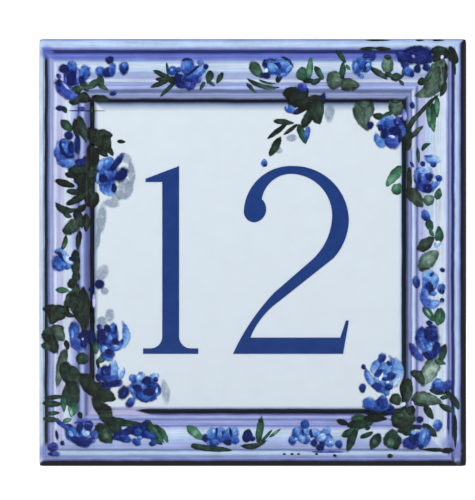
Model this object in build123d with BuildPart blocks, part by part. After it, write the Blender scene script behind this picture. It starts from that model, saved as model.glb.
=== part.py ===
"""House number plaque: one pressed, glazed ceramic tile with a moulded picture frame.

The plaque stands upright, as it hangs on a wall. +X runs to the right, +Z runs up and the painted
front faces -Y. The origin is the centre of the flat back, which is bedded on the wall.
"""

import os
from math import radians, tan

from build123d import *

# Driving dimensions, in millimetres
plaque_side = 150.0  # trimmed outline, edge to edge
field_thickness = 7.2  # clay under the number
frame_shift_x = -1.7  # the pressed frame sits a little off the hand-trimmed outline
frame_shift_z = -0.9

# Frame moulding, from the field outwards
sight_quirk_width = 2.0  # groove round the field
sight_quirk_depth = 0.7
sight_bead_width = 3.0
sight_bead_rise = 1.0  # from the field up to the far side of the bead
sight_bead_bulge = 0.75
fine_quirk_width = 1.2
fine_quirk_rise = 0.2
fine_quirk_depth = 0.3
fascia_width = 8.2  # broad flat band that carries the garland
fascia_rise = 0.2
back_bead_width = 2.6
back_bead_bulge = 0.75
edge_quirk_width = 1.2
edge_quirk_depth = 0.5
edge_band_width = 3.05  # flat outer band, on average

# Edges and back
edge_taper = 3.0  # degrees that the sides lean in towards the back
edge_round = 1.2  # front edge softened by the glaze
corner_round = 0.8
key_count = 4  # adhesive pockets along each side of the back
key_rib = 5.0  # flat ribs between the pockets
key_border = 9.0  # flat rim round the pockets
key_depth = 1.0
key_taper = 20.0

# Painted enamel
enamel = 0.15  # how far the paint stands off the glaze
pool = 0.25  # depth of the dark glaze that pools in a quirk
numeral_height = 66.0
numeral_gap = 12.2  # from the foot of the one to the base of the two
numeral_shift = -0.7  # the painter set the number a little left of the middle of the field
numeral_drop = 1.7  # and a little below it
one_stem = 5.9
one_foot = 19.4
one_foot_thickness = 1.9
one_bracket = 4.2  # fillet between stem and foot
one_flag = 5.9  # reach of the flag to the left of the stem
one_flag_drop = 4.5  # fall of its upper edge
one_flag_tip = 1.1
two_grid = 66.0  # the two is drawn on a grid this many units high
two_width = 40.7  # in the same units, as are the next two
two_base = 5.7  # thickness of the flat base
two_tip = 11.7  # height of its raised tip
petal_count = 5
petal_notch = 0.74  # how far out the notches between petals lie, as a share of the rose

# Levels above the back, and distances outwards from the edge of the field
fine_level = field_thickness + sight_bead_rise
fascia_level = fine_level + fine_quirk_rise
rim_level = fascia_level + fascia_rise
fine_start = sight_quirk_width + sight_bead_width
fascia_start = fine_start + fine_quirk_width
back_bead_start = fascia_start + fascia_width
edge_quirk_start = back_bead_start + back_bead_width
edge_band_start = edge_quirk_start + edge_quirk_width
rail_width = edge_band_start + edge_band_width
sight_quirk_bed = (sight_quirk_width / 2, field_thickness - sight_quirk_depth)
fine_quirk_bed = (fine_start + fine_quirk_width / 2, fine_level - fine_quirk_depth)
edge_quirk_bed = (edge_quirk_start + edge_quirk_width / 2, rim_level - edge_quirk_depth)
field_half = plaque_side / 2 - rail_width
field_left = frame_shift_x - field_half
field_right = frame_shift_x + field_half
field_bottom = frame_shift_z - field_half
field_top = frame_shift_z + field_half
moulding_reach = 2 * rail_width  # well past the trimmed outline
crown = rim_level + back_bead_bulge  # highest line of the moulding
edge_soft = min(edge_round, 0.85 * (edge_band_width - max(abs(frame_shift_x), abs(frame_shift_z))))
shoulder_level = rim_level - 1.5 * edge_soft  # the sides are upright down to here
back_side = plaque_side - 2 * shoulder_level * tan(radians(edge_taper))
key_pitch = (back_side - 2 * key_border + key_rib) / key_count
two_unit = numeral_height / two_grid
number_width = one_foot + numeral_gap + two_width * two_unit

front = Plane.XZ  # local x is +X, local y is +Z, and it extrudes towards the viewer
frame_centre = (frame_shift_x, frame_shift_z)
rail_section = Plane(origin=(frame_shift_x, 0, field_bottom), x_dir=(0, 0, -1), z_dir=(-1, 0, 0))
number_left = frame_shift_x + numeral_shift - number_width / 2
number_foot = frame_shift_z - numeral_drop - numeral_height / 2
one_plane = Plane(origin=(number_left, -field_thickness, number_foot), x_dir=(1, 0, 0), z_dir=(0, -1, 0))
two_plane = one_plane.shift_origin((number_left + one_foot + numeral_gap, -field_thickness, number_foot))

# Where the garland's roses lie: share across, share up, diameter. A share of 1 is the edge of the
# field and a share of 2 is the outer end of the moulding.
rose_spots = [
    # Left rail, from the top down, with the field beside it
    (-1.47, 1.45, 12.0),
    (-0.91, 1.67, 6.5),
    (-1.55, 0.69, 9.0),
    (-0.89, 0.52, 12.0),
    (-1.63, -0.03, 6.5),
    (-1.25, -0.53, 9.0),
    (-0.90, -0.55, 11.0),
    (-0.92, -0.78, 9.0),
    (-0.67, -0.87, 10.5),
    (-0.80, -0.92, 5.0),
    (-1.30, -1.40, 12.0),
    # Lower rail, from the left
    (-0.25, -1.51, 7.5),
    (-0.12, -1.51, 7.0),
    (-0.01, -1.54, 5.0),
    (0.35, -1.46, 8.0),
    (0.50, -1.57, 7.0),
    (1.27, -1.54, 9.0),
    (0.88, -0.77, 13.0),
    (0.85, -0.99, 7.0),
    # Right rail, from the bottom up
    (1.77, -0.85, 6.0),
    (1.52, -0.54, 11.0),
    (1.55, -0.20, 11.0),
    (1.46, 0.53, 9.0),
    # Upper rail, from the right, and the corner of the field below it
    (1.27, 1.78, 11.0),
    (0.76, 1.72, 8.5),
    (0.18, 1.67, 9.5),
    (-0.40, 1.56, 12.0),
    (0.93, 0.81, 11.0),
]

# Where its leaves lie: share across, share up, length, width, turn from the level in degrees
leaf_spots = [
    # Left rail, from the top down, with the field beside it
    (-1.25, 1.26, 9, 3.5, 15),
    (-1.54, 0.84, 4.5, 2.5, -50),
    (-1.26, 0.82, 8, 3.6, -70),
    (-0.96, 0.73, 13, 7, -47),
    (-1.06, 0.56, 19, 5, 80),
    (-1.33, 0.55, 7.5, 3, -20),
    (-1.58, 0.47, 6.5, 2, -20),
    (-1.33, 0.36, 8, 2.6, 25),
    (-1.06, 0.36, 6, 4, 50),
    (-1.55, 0.3, 8, 3, -15),
    (-1.33, 0.22, 13, 4.5, 45),
    (-1.39, -0.09, 11, 3, 78),
    (-1.39, -0.28, 10, 5.5, 65),
    (-1.17, -0.36, 15, 5.5, 85),
    (-1.72, -0.37, 10, 5, 0),
    (-1.77, -0.52, 12, 6.5, 60),
    (-1.65, -0.73, 12, 2.8, 75),
    (-1.44, -0.79, 12, 6.5, -62),
    (-1.47, -0.93, 13, 4.5, 75),
    (-1.11, -0.86, 10, 4, -60),
    (-0.93, -0.92, 8, 4, 10),
    (-0.95, -1.02, 10, 5.5, -65),
    # Lower rail, from the left
    (-0.93, -1.49, 9, 4, -50),
    (-0.87, -1.31, 9, 5, -35),
    (-0.6, -1.38, 9, 3.5, -45),
    (-0.34, -1.45, 6.5, 2.6, -45),
    (-0.23, -1.77, 14, 1.8, -5),
    (0.07, -1.4, 8, 2.6, 80),
    (0.72, -1.27, 10, 3.6, -5),
    (0.68, -1.51, 9, 2.6, 50),
    (0.82, -1.62, 6, 3.2, 60),
    (0.94, -1.6, 7.5, 6.5, 70),
    (1.08, -1.24, 10, 8.5, -10),
    (1.55, -1.42, 7, 3, -45),
    (0.85, -1.16, 9, 4, -10),
    # Right rail, from the bottom up
    (1.1, -0.88, 10, 3.6, 85),
    (1.46, -0.94, 12, 4.5, -10),
    (1.99, -0.96, 6.5, 3, -65),
    (1.52, -0.76, 12, 5, 60),
    (1.49, -0.38, 6.5, 2.5, -60),
    (1.73, -0.4, 6, 3.2, 75),
    (1.57, -0.03, 10, 4, 55),
    (1.49, 0.07, 7, 3.5, 45),
    (1.71, 0.16, 6, 3, 80),
    (1.16, 0.42, 13, 3.6, -70),
    (0.92, 0.5, 9, 3, 55),
    (0.97, 0.44, 5, 3.4, 40),
    (1.41, 0.94, 13, 2, 45),
    (1.61, 0.91, 12, 3, 80),
    (1.65, 1.42, 15, 6.5, 62),
    # Upper rail, from the right
    (0.91, 1.7, 9, 4, 90),
    (0.88, 1.5, 9, 2.4, -30),
    (0.56, 1.4, 9, 4.5, -40),
    (0.66, 1.33, 8, 4, -15),
    (0.63, 1.7, 9, 2.2, -60),
    (0.36, 1.56, 6, 4, 100),
    (0.4, 1.66, 8, 2.6, 80),
    (0.07, 1.6, 8, 2.8, -60),
    (-0.55, 1.45, 9, 2.2, -20),
    (-0.27, 1.42, 8, 2.4, 60),
    # Sprays that hang from the upper rail onto the field
    (0.32, 1.06, 12, 8, -20),
    (0.45, 0.96, 10, 6, 75),
    (0.36, 0.89, 8, 3.5, 50),
    (0.23, 0.87, 7, 2.4, -8),
    (0.18, 0.81, 8, 1.8, 42),
    (0.35, 0.8, 8, 2.8, -70),
    (0.17, 0.71, 8, 3, 57),
    (0.75, 0.92, 12, 6.5, -70),
    (0.96, 0.97, 7.5, 6.5, 60),
]


class Leaf(BaseSketchObject):
    """A pointed leaf lying along local x, centred on its middle and fullest near its stalk."""

    def __init__(self, length: float, width: float, rotation: float = 0, mode: Mode = Mode.ADD):
        edge = [(-0.5 * length, 0), (-0.2 * length, 0.5 * width), (0.15 * length, 0.42 * width)]
        tip = (0.5 * length, 0)
        with BuildSketch() as outline:
            Polygon(*edge, tip, *[(x, -y) for x, y in reversed(edge[1:])], align=None)
        super().__init__(obj=outline.sketch, rotation=rotation, align=None, mode=mode)


class Rose(BaseSketchObject):
    """A rose seen from the front: blunt petals round its middle, with notches between them."""

    def __init__(self, diameter: float, rotation: float = 0, mode: Mode = Mode.ADD):
        petal = 360 / petal_count
        corners = [(diameter / 2, -0.25), (diameter / 2, 0.25), (petal_notch * diameter / 2, 0.5)]
        with BuildSketch() as outline:
            Polygon(
                *[
                    Vector(reach, 0).rotate(Axis.Z, (step + turn) * petal)
                    for step in range(petal_count)
                    for reach, turn in corners
                ],
                align=None,
            )
        super().__init__(obj=outline.sketch, rotation=rotation, align=None, mode=mode)


def from_field_middle(share: float) -> float:
    """Distance from the middle of the field for a share across the field and its moulding."""
    side = -1 if share < 0 else 1
    inner = min(abs(share), 1)
    outer = abs(share) - inner
    return side * (inner * field_half + outer * edge_band_start)


def garland_spot(across: float, up: float) -> tuple:
    """Point on the front plane for a pair of shares."""
    return (frame_shift_x + from_field_middle(across), frame_shift_z + from_field_middle(up))


def grid(across: float, up: float) -> tuple:
    """Point on the grid that the two is drawn on."""
    return (across * two_unit, up * two_unit)


os.makedirs("parts", exist_ok=True)

# Path of the moulding: once round the edge of the field, from the middle of the lower rail
with BuildLine() as field_edge:
    Polyline(
        (frame_shift_x, 0, field_bottom),
        (field_left, 0, field_bottom),
        (field_left, 0, field_top),
        (field_right, 0, field_top),
        (field_right, 0, field_bottom),
        close=True,
    )

# Outline that the tile is trimmed to, with sides that lean in towards the back
with BuildPart() as outline_block:
    with BuildSketch(front.offset(shoulder_level)) as outline:
        RectangleRounded(plaque_side, plaque_side, corner_round)
    extrude(outline.sketch, amount=crown)
    extrude(outline.sketch, amount=-shoulder_level, taper=edge_taper)

# Tile: field and moulding are pressed as one piece of clay
with BuildPart() as tile:
    with BuildSketch(rail_section):
        with BuildLine():
            Polyline((0, 0), (0, field_thickness), sight_quirk_bed, (sight_quirk_width, field_thickness))
            SagittaArc((sight_quirk_width, field_thickness), (fine_start, fine_level), sight_bead_bulge)
            Polyline(
                (fine_start, fine_level),
                fine_quirk_bed,
                (fascia_start, fascia_level),
                (back_bead_start, rim_level),
            )
            SagittaArc((back_bead_start, rim_level), (edge_quirk_start, rim_level), back_bead_bulge)
            Polyline(
                (edge_quirk_start, rim_level),
                edge_quirk_bed,
                (edge_band_start, rim_level),
                (moulding_reach, rim_level),
                (moulding_reach, 0),
                (0, 0),
            )
        make_face()
    sweep(path=field_edge.wire(), transition=Transition.RIGHT)
    with BuildSketch(front):
        with Locations(frame_centre):
            Rectangle(2 * field_half, 2 * field_half)
    extrude(amount=field_thickness)
    add(outline_block.part, mode=Mode.INTERSECT)
    rim_line = outline.wire().moved(Location((0, shoulder_level - rim_level, 0)))
    rim = tile.edges().filter_by(lambda edge: rim_line.distance_to(edge @ 0.5) < 0.001)
    fillet(rim, edge_soft)
    with BuildSketch(front):
        with GridLocations(key_pitch, key_pitch, key_count, key_count):
            Rectangle(key_pitch - key_rib, key_pitch - key_rib)
    extrude(amount=key_depth, taper=key_taper, mode=Mode.SUBTRACT)
tile.part.label = "tile"
export_step(tile.part, "parts/tile.step")

# Dark glaze pooled in the quirk round the field
with BuildPart() as sight_line:
    with BuildSketch(rail_section):
        with BuildLine():
            Polyline(
                (0, field_thickness),
                sight_quirk_bed,
                (sight_quirk_width, field_thickness),
                (sight_quirk_bed[0], sight_quirk_bed[1] + pool),
                close=True,
            )
        make_face()
    sweep(path=field_edge.wire(), transition=Transition.RIGHT)
sight_line.part.label = "sight_line"
export_step(sight_line.part, "parts/sight_line.step")

# Dark glaze pooled in the quirk behind the outer bead
with BuildPart() as outer_line:
    with BuildSketch(rail_section):
        with BuildLine():
            Polyline(
                (edge_quirk_start, rim_level),
                edge_quirk_bed,
                (edge_band_start, rim_level),
                (edge_quirk_bed[0], edge_quirk_bed[1] + pool),
                close=True,
            )
        make_face()
    sweep(path=field_edge.wire(), transition=Transition.RIGHT)
outer_line.part.label = "outer_line"
export_step(outer_line.part, "parts/outer_line.step")

# Numeral one: slab stem with a bracketed foot and a slanted flag
stem_left = (one_foot - one_stem) / 2
stem_right = stem_left + one_stem
flag_level = numeral_height - one_flag_drop
with BuildPart() as numeral_one:
    with BuildSketch(one_plane) as one_outline:
        with BuildLine():
            Polyline(
                (0, 0),
                (one_foot, 0),
                (one_foot, one_foot_thickness),
                (stem_right, one_foot_thickness),
                (stem_right, numeral_height),
                (stem_left - one_flag, flag_level),
                (stem_left - one_flag, flag_level - one_flag_tip),
                (stem_left, flag_level - one_flag_tip),
                (stem_left, one_foot_thickness),
                (0, one_foot_thickness),
                close=True,
            )
        make_face()
        inner = [(stem_left, one_foot_thickness), (stem_right, one_foot_thickness)]
        brackets = [one_outline.vertices().sort_by_distance(corner)[0] for corner in inner]
        fillet(brackets, one_bracket)
    extrude(amount=enamel)
numeral_one.part.label = "numeral_one"
export_step(numeral_one.part, "parts/numeral_one.step")

# Numeral two: ball end, bowl, swept neck and a flat base with a raised tip
with BuildPart() as numeral_two:
    with BuildSketch(two_plane):
        with BuildLine():
            Polyline(
                grid(6.1, two_base),
                grid(two_width - 3, two_base),
                grid(two_width - 1, two_tip),
                grid(two_width, two_tip),
                grid(two_width - 2, 0),
                (0, 0),
            )
            ThreePointArc((0, 0), grid(6.8, 12), grid(14.5, 21.5))
            Line(grid(14.5, 21.5), grid(27.3, 32.6))
            ThreePointArc(grid(27.3, 32.6), grid(32.7, 39.6), grid(34.8, 47.5))
            ThreePointArc(grid(34.8, 47.5), grid(30.9, 58.6), grid(21.6, 63.2))
            ThreePointArc(grid(21.6, 63.2), grid(13.5, 60.6), grid(10.1, 54.4))
            ThreePointArc(grid(10.1, 54.4), grid(11.5, 49.6), grid(7.6, 46.2))
            ThreePointArc(grid(7.6, 46.2), grid(4.7, 47.5), grid(3.8, 50.4))
            ThreePointArc(grid(3.8, 50.4), grid(8.9, 61.4), grid(21.3, two_grid))
            ThreePointArc(grid(21.3, two_grid), grid(35, 60.4), grid(two_width, 47))
            ThreePointArc(grid(two_width, 47), grid(39.3, 40), grid(35.3, 33.6))
            Line(grid(35.3, 33.6), grid(14.2, 16.9))
            ThreePointArc(grid(14.2, 16.9), grid(9.6, 12), grid(6.1, two_base))
        make_face()
    extrude(amount=enamel)
numeral_two.part.label = "numeral_two"
export_step(numeral_two.part, "parts/numeral_two.step")

# Glazed ground that the garland is painted on
with BuildPart() as ground:
    add(tile.part)
    add(sight_line.part)
    add(outer_line.part)

# Garland: leaves are painted first, roses over them, all in a thin skin that follows the moulding
with BuildSketch(front) as rose_plan:
    for across, up, diameter in rose_spots:
        with Locations(garland_spot(across, up)):
            Rose(diameter, rotation=90)
with BuildSketch(front) as leaf_plan:
    for across, up, length, width, turn in leaf_spots:
        with Locations(garland_spot(across, up)):
            Leaf(length, width, turn)
    add(rose_plan.sketch, mode=Mode.SUBTRACT)
with BuildPart() as roses:
    extrude(rose_plan.sketch, amount=crown + 2 * enamel)
    add(ground.part.moved(Location((0, -enamel, 0))), mode=Mode.INTERSECT)
    add(ground.part, mode=Mode.SUBTRACT)
roses.part.label = "roses"
export_step(roses.part, "parts/roses.step")
with BuildPart() as leaves:
    extrude(leaf_plan.sketch, amount=crown + 2 * enamel)
    add(ground.part.moved(Location((0, -enamel, 0))), mode=Mode.INTERSECT)
    add(ground.part, mode=Mode.SUBTRACT)
leaves.part.label = "leaves"
export_step(leaves.part, "parts/leaves.step")
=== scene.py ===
"""Looks of the house number plaque: a pressed, glazed and hand-painted ceramic tile.

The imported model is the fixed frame: +X to the right, +Z up, the painted front faces -Y and the
origin is the centre of the back. Sizes are written in millimetres and turned to metres once.
"""

import logging
import math
import random
from dataclasses import dataclass, field
from enum import Enum
from functools import partial
from typing import Any, Callable, Iterable

import bmesh
import bpy
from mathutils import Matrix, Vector, noise


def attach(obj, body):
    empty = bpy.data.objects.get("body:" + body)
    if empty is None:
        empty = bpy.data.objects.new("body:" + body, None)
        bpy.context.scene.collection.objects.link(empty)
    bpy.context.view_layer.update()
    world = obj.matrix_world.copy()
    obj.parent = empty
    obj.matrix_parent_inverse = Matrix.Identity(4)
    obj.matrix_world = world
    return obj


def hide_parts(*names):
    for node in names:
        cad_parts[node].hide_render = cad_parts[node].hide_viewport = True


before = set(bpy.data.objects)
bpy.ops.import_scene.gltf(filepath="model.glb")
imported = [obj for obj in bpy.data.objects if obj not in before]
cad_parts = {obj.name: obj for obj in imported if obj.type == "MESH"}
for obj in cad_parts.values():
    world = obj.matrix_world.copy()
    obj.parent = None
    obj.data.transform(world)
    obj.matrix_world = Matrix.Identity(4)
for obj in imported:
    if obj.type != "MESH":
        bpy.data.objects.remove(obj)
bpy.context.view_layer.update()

MM = 0.001
log = logging.getLogger("plaque")

# Short names for the types that come up most
Piece = bpy.types.Object
Mesh = bpy.types.Mesh
Material = bpy.types.Material
Tree = bpy.types.NodeTree
Outputs = bpy.types.NodeOutputs
Socket = bpy.types.NodeSocket
Sockets = dict[str, Socket]
Adder = Callable[..., Socket]
Shell = bmesh.types.BMesh
Ring = list[bmesh.types.BMVert]
Point = tuple[float, float]
Place = tuple[float, float, float]
Colour = tuple[float, float, float, float]
Section = list[Point]
Row = tuple[float, ...]

# Blender's names for the node types that come up most
MATH = "ShaderNodeMath"
VECTOR_MATH = "ShaderNodeVectorMath"
MAP_RANGE = "ShaderNodeMapRange"
MIX = "ShaderNodeMix"
NOISE = "ShaderNodeTexNoise"
RAMP = "ShaderNodeValToRGB"
BUMP = "ShaderNodeBump"
ATTRIBUTE = "ShaderNodeAttribute"
COMBINE = "ShaderNodeCombineXYZ"
SEPARATE = "ShaderNodeSeparateXYZ"
STORE = "GeometryNodeStoreNamedAttribute"
RECALL = "GeometryNodeInputNamedAttribute"

# The Mix node's sockets for numbers and for colours, by place because their names repeat
NUMBER_A, NUMBER_B = 2, 3
COLOUR_A, COLOUR_B = 6, 7
COLOUR_MIX: dict[str, Any] = {"out": 2, "data_type": "RGBA"}

# The span in which most of a noise lies, and a share that falls instead of rising
NOISE_SPAN = {"From Min": 0.3, "From Max": 0.7}
FALLING = {"To Min": 1.0, "To Max": 0.0}

# Fired clay and glaze have about the IOR of glass. The glaze reflects little, as the photo shows
CERAMIC_IOR = 1.5
FIRED_GLAZE = {"IOR": CERAMIC_IOR, "Specular IOR Level": 0.15}
WHITE = (1.0, 1.0, 1.0, 1.0)


class Paint(Enum):
    """The painter's colours and the painted light and shade of the moulding, as sRGB hex values."""

    ICE = "#d4dfe8"
    FROST = "#c6d4e5"
    # Painted shadow that the frame throws on the field beside the dark line
    SHADE = "#98abc4"
    SKY = "#b3cbe9"
    PEARL = "#d3def4"
    ORCHID = "#b1b3d8"
    # Painted highlight on the beads where they face the light
    DUSK = "#97a6d0"
    LILAC = "#a3b0e0"
    HEATHER = "#8896d2"
    PERIWINKLE = "#5c6bc2"
    MAUVE = "#6a72b2"
    SLATE = "#5b6a96"
    INDIGO = "#252f6b"
    # The dark painted lines, and painted shade on the slopes and the right edge that face away from the
    # light
    INK = "#0a111d"
    # Painted shade of the lower edge and the lower right corner, which face away from the light
    SOOT = "#15161c"
    BISQUE = "#d8cdbd"
    BISQUE_DARK = "#b9a892"

    @property
    def linear(self) -> Colour:
        """The colour as linear red, green, blue and a full alpha."""
        return to_linear(self.value)


class Rail(Enum):
    """The four rails of the moulded frame."""

    TOP = "top"
    BOTTOM = "bottom"
    LEFT = "left"
    RIGHT = "right"


def to_linear(hex_colour: str) -> Colour:
    """Turns an sRGB hex colour to linear light.

    Args:
        hex_colour: The colour as a hash sign and six digits.

    Returns:
        Linear red, green and blue with a full alpha.
    """
    shares = [int(hex_colour[i:i + 2], 16) / 255 for i in (1, 3, 5)]
    linear = [s / 12.92 if s <= 0.04045 else ((s + 0.055) / 1.055) ** 2.4 for s in shares]
    return (linear[0], linear[1], linear[2], 1.0)


def put(
    tree: Tree,
    kind: str,
    inputs: dict[int | str, Any] | tuple[Any, ...] = (),
    out: int | str = 0,
    stops: Iterable[tuple[float, tuple[float, ...]]] = (),
    **settings: Any,
) -> Socket | None:
    """Adds a node with its settings and links.

    Args:
        tree: The node tree it goes into.
        kind: Blender's name for the node type.
        inputs: Values, sockets or lists of sockets for its inputs, by name or in order.
        out: The output that is wanted back.
        stops: Places and linear colours of a colour ramp.
        **settings: The node's own properties.

    Returns:
        The wanted output, or None for a node without outputs.
    """
    made = tree.nodes.new(kind)
    for name, value in settings.items():
        setattr(made, name, value)
    for i, (spot, colour) in enumerate(stops):
        ramp = made.color_ramp.elements
        stop = ramp[i] if i < 2 else ramp.new(spot)
        stop.position = spot
        stop.color = colour
    named = inputs if isinstance(inputs, dict) else dict(enumerate(inputs))
    for key, value in named.items():
        if isinstance(value, (list, Socket)):
            for source in value if isinstance(value, list) else [value]:
                tree.links.new(source, made.inputs[key])
        else:
            made.inputs[key].default_value = value
    return made.outputs[out] if len(made.outputs) else None


def blank_material(name: str) -> tuple[Material, Adder]:
    """Makes a material with an empty node tree.

    Args:
        name: The material's name.

    Returns:
        The material, and what adds a node to its tree.
    """
    made = bpy.data.materials.new(name)
    made.use_nodes = True
    made.node_tree.nodes.clear()
    return made, partial(put, made.node_tree)


def place_on_piece(add: Adder) -> Socket:
    """Reads where a point lies on its piece.

    Args:
        add: Adds a node to the material's tree.

    Returns:
        The Object coordinates in millimetres.
    """
    spot = add("ShaderNodeTexCoord", out="Object")
    return add(VECTOR_MATH, {0: spot, "Scale": 1 / MM}, operation="SCALE")


def upper_side(add: Adder, cover: Socket) -> Socket:
    """Keeps the cover of a brush stroke on its upper side and clears its underside.

    Args:
        add: Adds a node to the material's tree.
        cover: How much of the ground the stroke covers.

    Returns:
        The cover, 0 on the underside.
    """
    under = add(ATTRIBUTE, out="Fac", attribute_name="under")
    upper = add(MATH, (1.0, under), operation="SUBTRACT")
    return add(MATH, (cover, upper), operation="MULTIPLY")


def dress_surface(add: Adder, inputs: dict[str, Any]) -> None:
    """Ends a material's tree in its surface.

    Args:
        add: Adds a node to the material's tree.
        inputs: Values and sockets of the surface, by name.
    """
    surface = add("ShaderNodeBsdfPrincipled", inputs)
    add("ShaderNodeOutputMaterial", {"Surface": surface})


def add_object(name: str, mesh: Mesh) -> Piece:
    """Puts a mesh into the scene as an object at the origin.

    Args:
        name: The piece's name.
        mesh: Its mesh, already in place.

    Returns:
        The new object.
    """
    made = bpy.data.objects.new(name, mesh)
    bpy.context.scene.collection.objects.link(made)
    return made


def between(start: Point, end: Point, share: float) -> Point:
    """The point at a share of the way from one point to another."""
    return (start[0] + (end[0] - start[0]) * share, start[1] + (end[1] - start[1]) * share)


@dataclass(frozen=True)
class Moulding:
    """Where the pressed frame lies on the tile, in millimetres, and how many points draw it."""

    side: float = 150.0
    field_half: float = 53.75
    shift_x: float = -1.7
    shift_z: float = -0.9
    field_level: float = 7.2
    fine_level: float = 8.2
    fascia_level: float = 8.4
    rim_level: float = 8.6
    bead_start: float = 2.0
    fine_start: float = 5.0
    fascia_start: float = 6.2
    back_bead_start: float = 14.4
    edge_quirk_start: float = 17.0
    edge_band_start: float = 18.2
    sight_depth: float = 0.7
    fine_depth: float = 0.4
    edge_depth: float = 0.5
    bulge: float = 0.75
    sight_points: int = 10
    bead_points: int = 12
    fine_points: int = 6
    fascia_points: int = 8
    edge_points: int = 8

    def quirk(self, start: Point, end: Point, depth: float, count: int) -> Section:
        """Draws a groove softened by the glaze.

        Args:
            start: Distance out and level where it begins.
            end: Distance out and level where it ends.
            depth: How deep it lies under the line between them.
            count: Number of points, without the first.

        Returns:
            The points after the start.
        """
        points = []
        for i in range(1, count + 1):
            t = i / count
            out, level = between(start, end, t)
            points.append((out, level - depth * 0.5 * (1 - math.cos(2 * math.pi * t))))
        return points

    def bead(self, start: Point, end: Point) -> Section:
        """Draws a round bead over the line between two points.

        Args:
            start: Distance out and level where it begins.
            end: Distance out and level where it ends.

        Returns:
            The points after the start.
        """
        across, up = end[0] - start[0], end[1] - start[1]
        chord = math.hypot(across, up)
        points = []
        for i in range(1, self.bead_points + 1):
            t = i / self.bead_points
            rise = self.bulge * (1 - (2 * t - 1) ** 2)
            out, level = between(start, end, t)
            points.append((out - up / chord * rise, level + across / chord * rise))
        return points

    def section(self) -> Section:
        """Draws the whole section from the edge of the field to the outer band.

        Returns:
            Distances out from the field and levels above the back.
        """
        field_edge = (0.0, self.field_level)
        bead_foot = (self.bead_start, self.field_level)
        fine_foot = (self.fine_start, self.fine_level)
        fascia_foot = (self.fascia_start, self.fascia_level)
        back_foot = (self.back_bead_start, self.rim_level)
        quirk_foot = (self.edge_quirk_start, self.rim_level)
        band_foot = (self.edge_band_start, self.rim_level)
        points = [field_edge]
        points += self.quirk(field_edge, bead_foot, self.sight_depth, self.sight_points)
        points += self.bead(bead_foot, fine_foot)
        points += self.quirk(fine_foot, fascia_foot, self.fine_depth, self.fine_points)
        for i in range(1, self.fascia_points + 1):
            points.append(between(fascia_foot, back_foot, i / self.fascia_points))
        points += self.bead(back_foot, quirk_foot)
        points += self.quirk(quirk_foot, band_foot, self.edge_depth, self.edge_points)
        return points


MOULDING = Moulding()


@dataclass(frozen=True)
class Rings:
    """Square rings of points, mitred at the corners, from which the moulding is built."""

    steps: int = 72
    crowding: float = 0.15
    wobble_reach: float = 14.0
    wobble_slice: float = 3.0
    wobble: float = 0.07
    ripple: float = 0.05
    ripple_sink: float = 0.6

    def share(self, index: int) -> float:
        """Place along a side from -1 to 1, closer together towards the corners."""
        even = 2 * index / self.steps - 1
        return (1 + self.crowding) * even - self.crowding * even ** 3

    def square(self, half: float) -> list[Point]:
        """Walks round a square from its lower left corner.

        Args:
            half: Half the side.

        Returns:
            The points, anticlockwise as seen from the front.
        """
        sides = []
        for turn in range(4):
            for i in range(self.steps):
                along, down = half * self.share(i), -half
                for _ in range(turn):
                    along, down = -down, along
                sides.append((along, down))
        return sides

    def settle(self, x: float, z: float, level: float) -> Vector:
        """Places a point with the slight unevenness of pressed clay under glaze.

        Args:
            x: Place across, in millimetres.
            z: Place up, in millimetres.
            level: Height above the back, in millimetres.

        Returns:
            The point in metres.
        """
        drift = noise.noise_vector(Vector((x, z, self.wobble_slice)) / self.wobble_reach)
        x += self.wobble * drift.x
        z += self.wobble * drift.y
        level += self.ripple * (drift.z - self.ripple_sink)
        return Vector((x, -level, z)) * MM

    def moulding_ring(self, out: float, level: float) -> list[Vector]:
        """One ring of the moulding.

        Args:
            out: Distance out from the field, in millimetres.
            level: Height above the back, in millimetres.

        Returns:
            Its points in metres.
        """
        return [
            self.settle(x + MOULDING.shift_x, z + MOULDING.shift_z, level)
            for x, z in self.square(MOULDING.field_half + out)
        ]

    def outline_ring(self, half: float, corner: float, level: float) -> list[Vector]:
        """One ring of the trimmed outline.

        Args:
            half: Half the side, in millimetres.
            corner: Radius of the corners, in millimetres.
            level: Height above the back, in millimetres.

        Returns:
            Its points in metres.
        """
        points = []
        inner = half - corner
        for x, z in self.square(half):
            qx, qz = min(max(x, -inner), inner), min(max(z, -inner), inner)
            off = math.hypot(x - qx, z - qz)
            if off > 0 and qx != x and qz != z:
                x, z = qx + (x - qx) / off * corner, qz + (z - qz) / off * corner
            points.append(Vector((x, -level, z)) * MM)
        return points


def bridge(shell: Shell, inner: Ring, outer: Ring) -> None:
    """Joins two rings of the same length with a band of faces.

    Args:
        shell: The mesh they are in.
        inner: The first ring.
        outer: The second ring.
    """
    count = len(inner)
    for i in range(count):
        j = (i + 1) % count
        shell.faces.new((inner[i], outer[i], outer[j], inner[j]))


def finish_mesh(shell: Shell, name: str, crease: float) -> Mesh:
    """Turns a closed shell into a smooth mesh with its faces outwards.

    Args:
        shell: The shell, which is freed.
        name: The mesh's name.
        crease: Edges that turn by more than this stay sharp, in degrees.

    Returns:
        The mesh.
    """
    bmesh.ops.recalc_face_normals(shell, faces=shell.faces[:])
    mesh = bpy.data.meshes.new(name)
    shell.to_mesh(mesh)
    shell.free()
    mesh.polygons.foreach_set("use_smooth", [True] * len(mesh.polygons))
    mesh.set_sharp_from_angle(angle=math.radians(crease))
    return mesh
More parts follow.
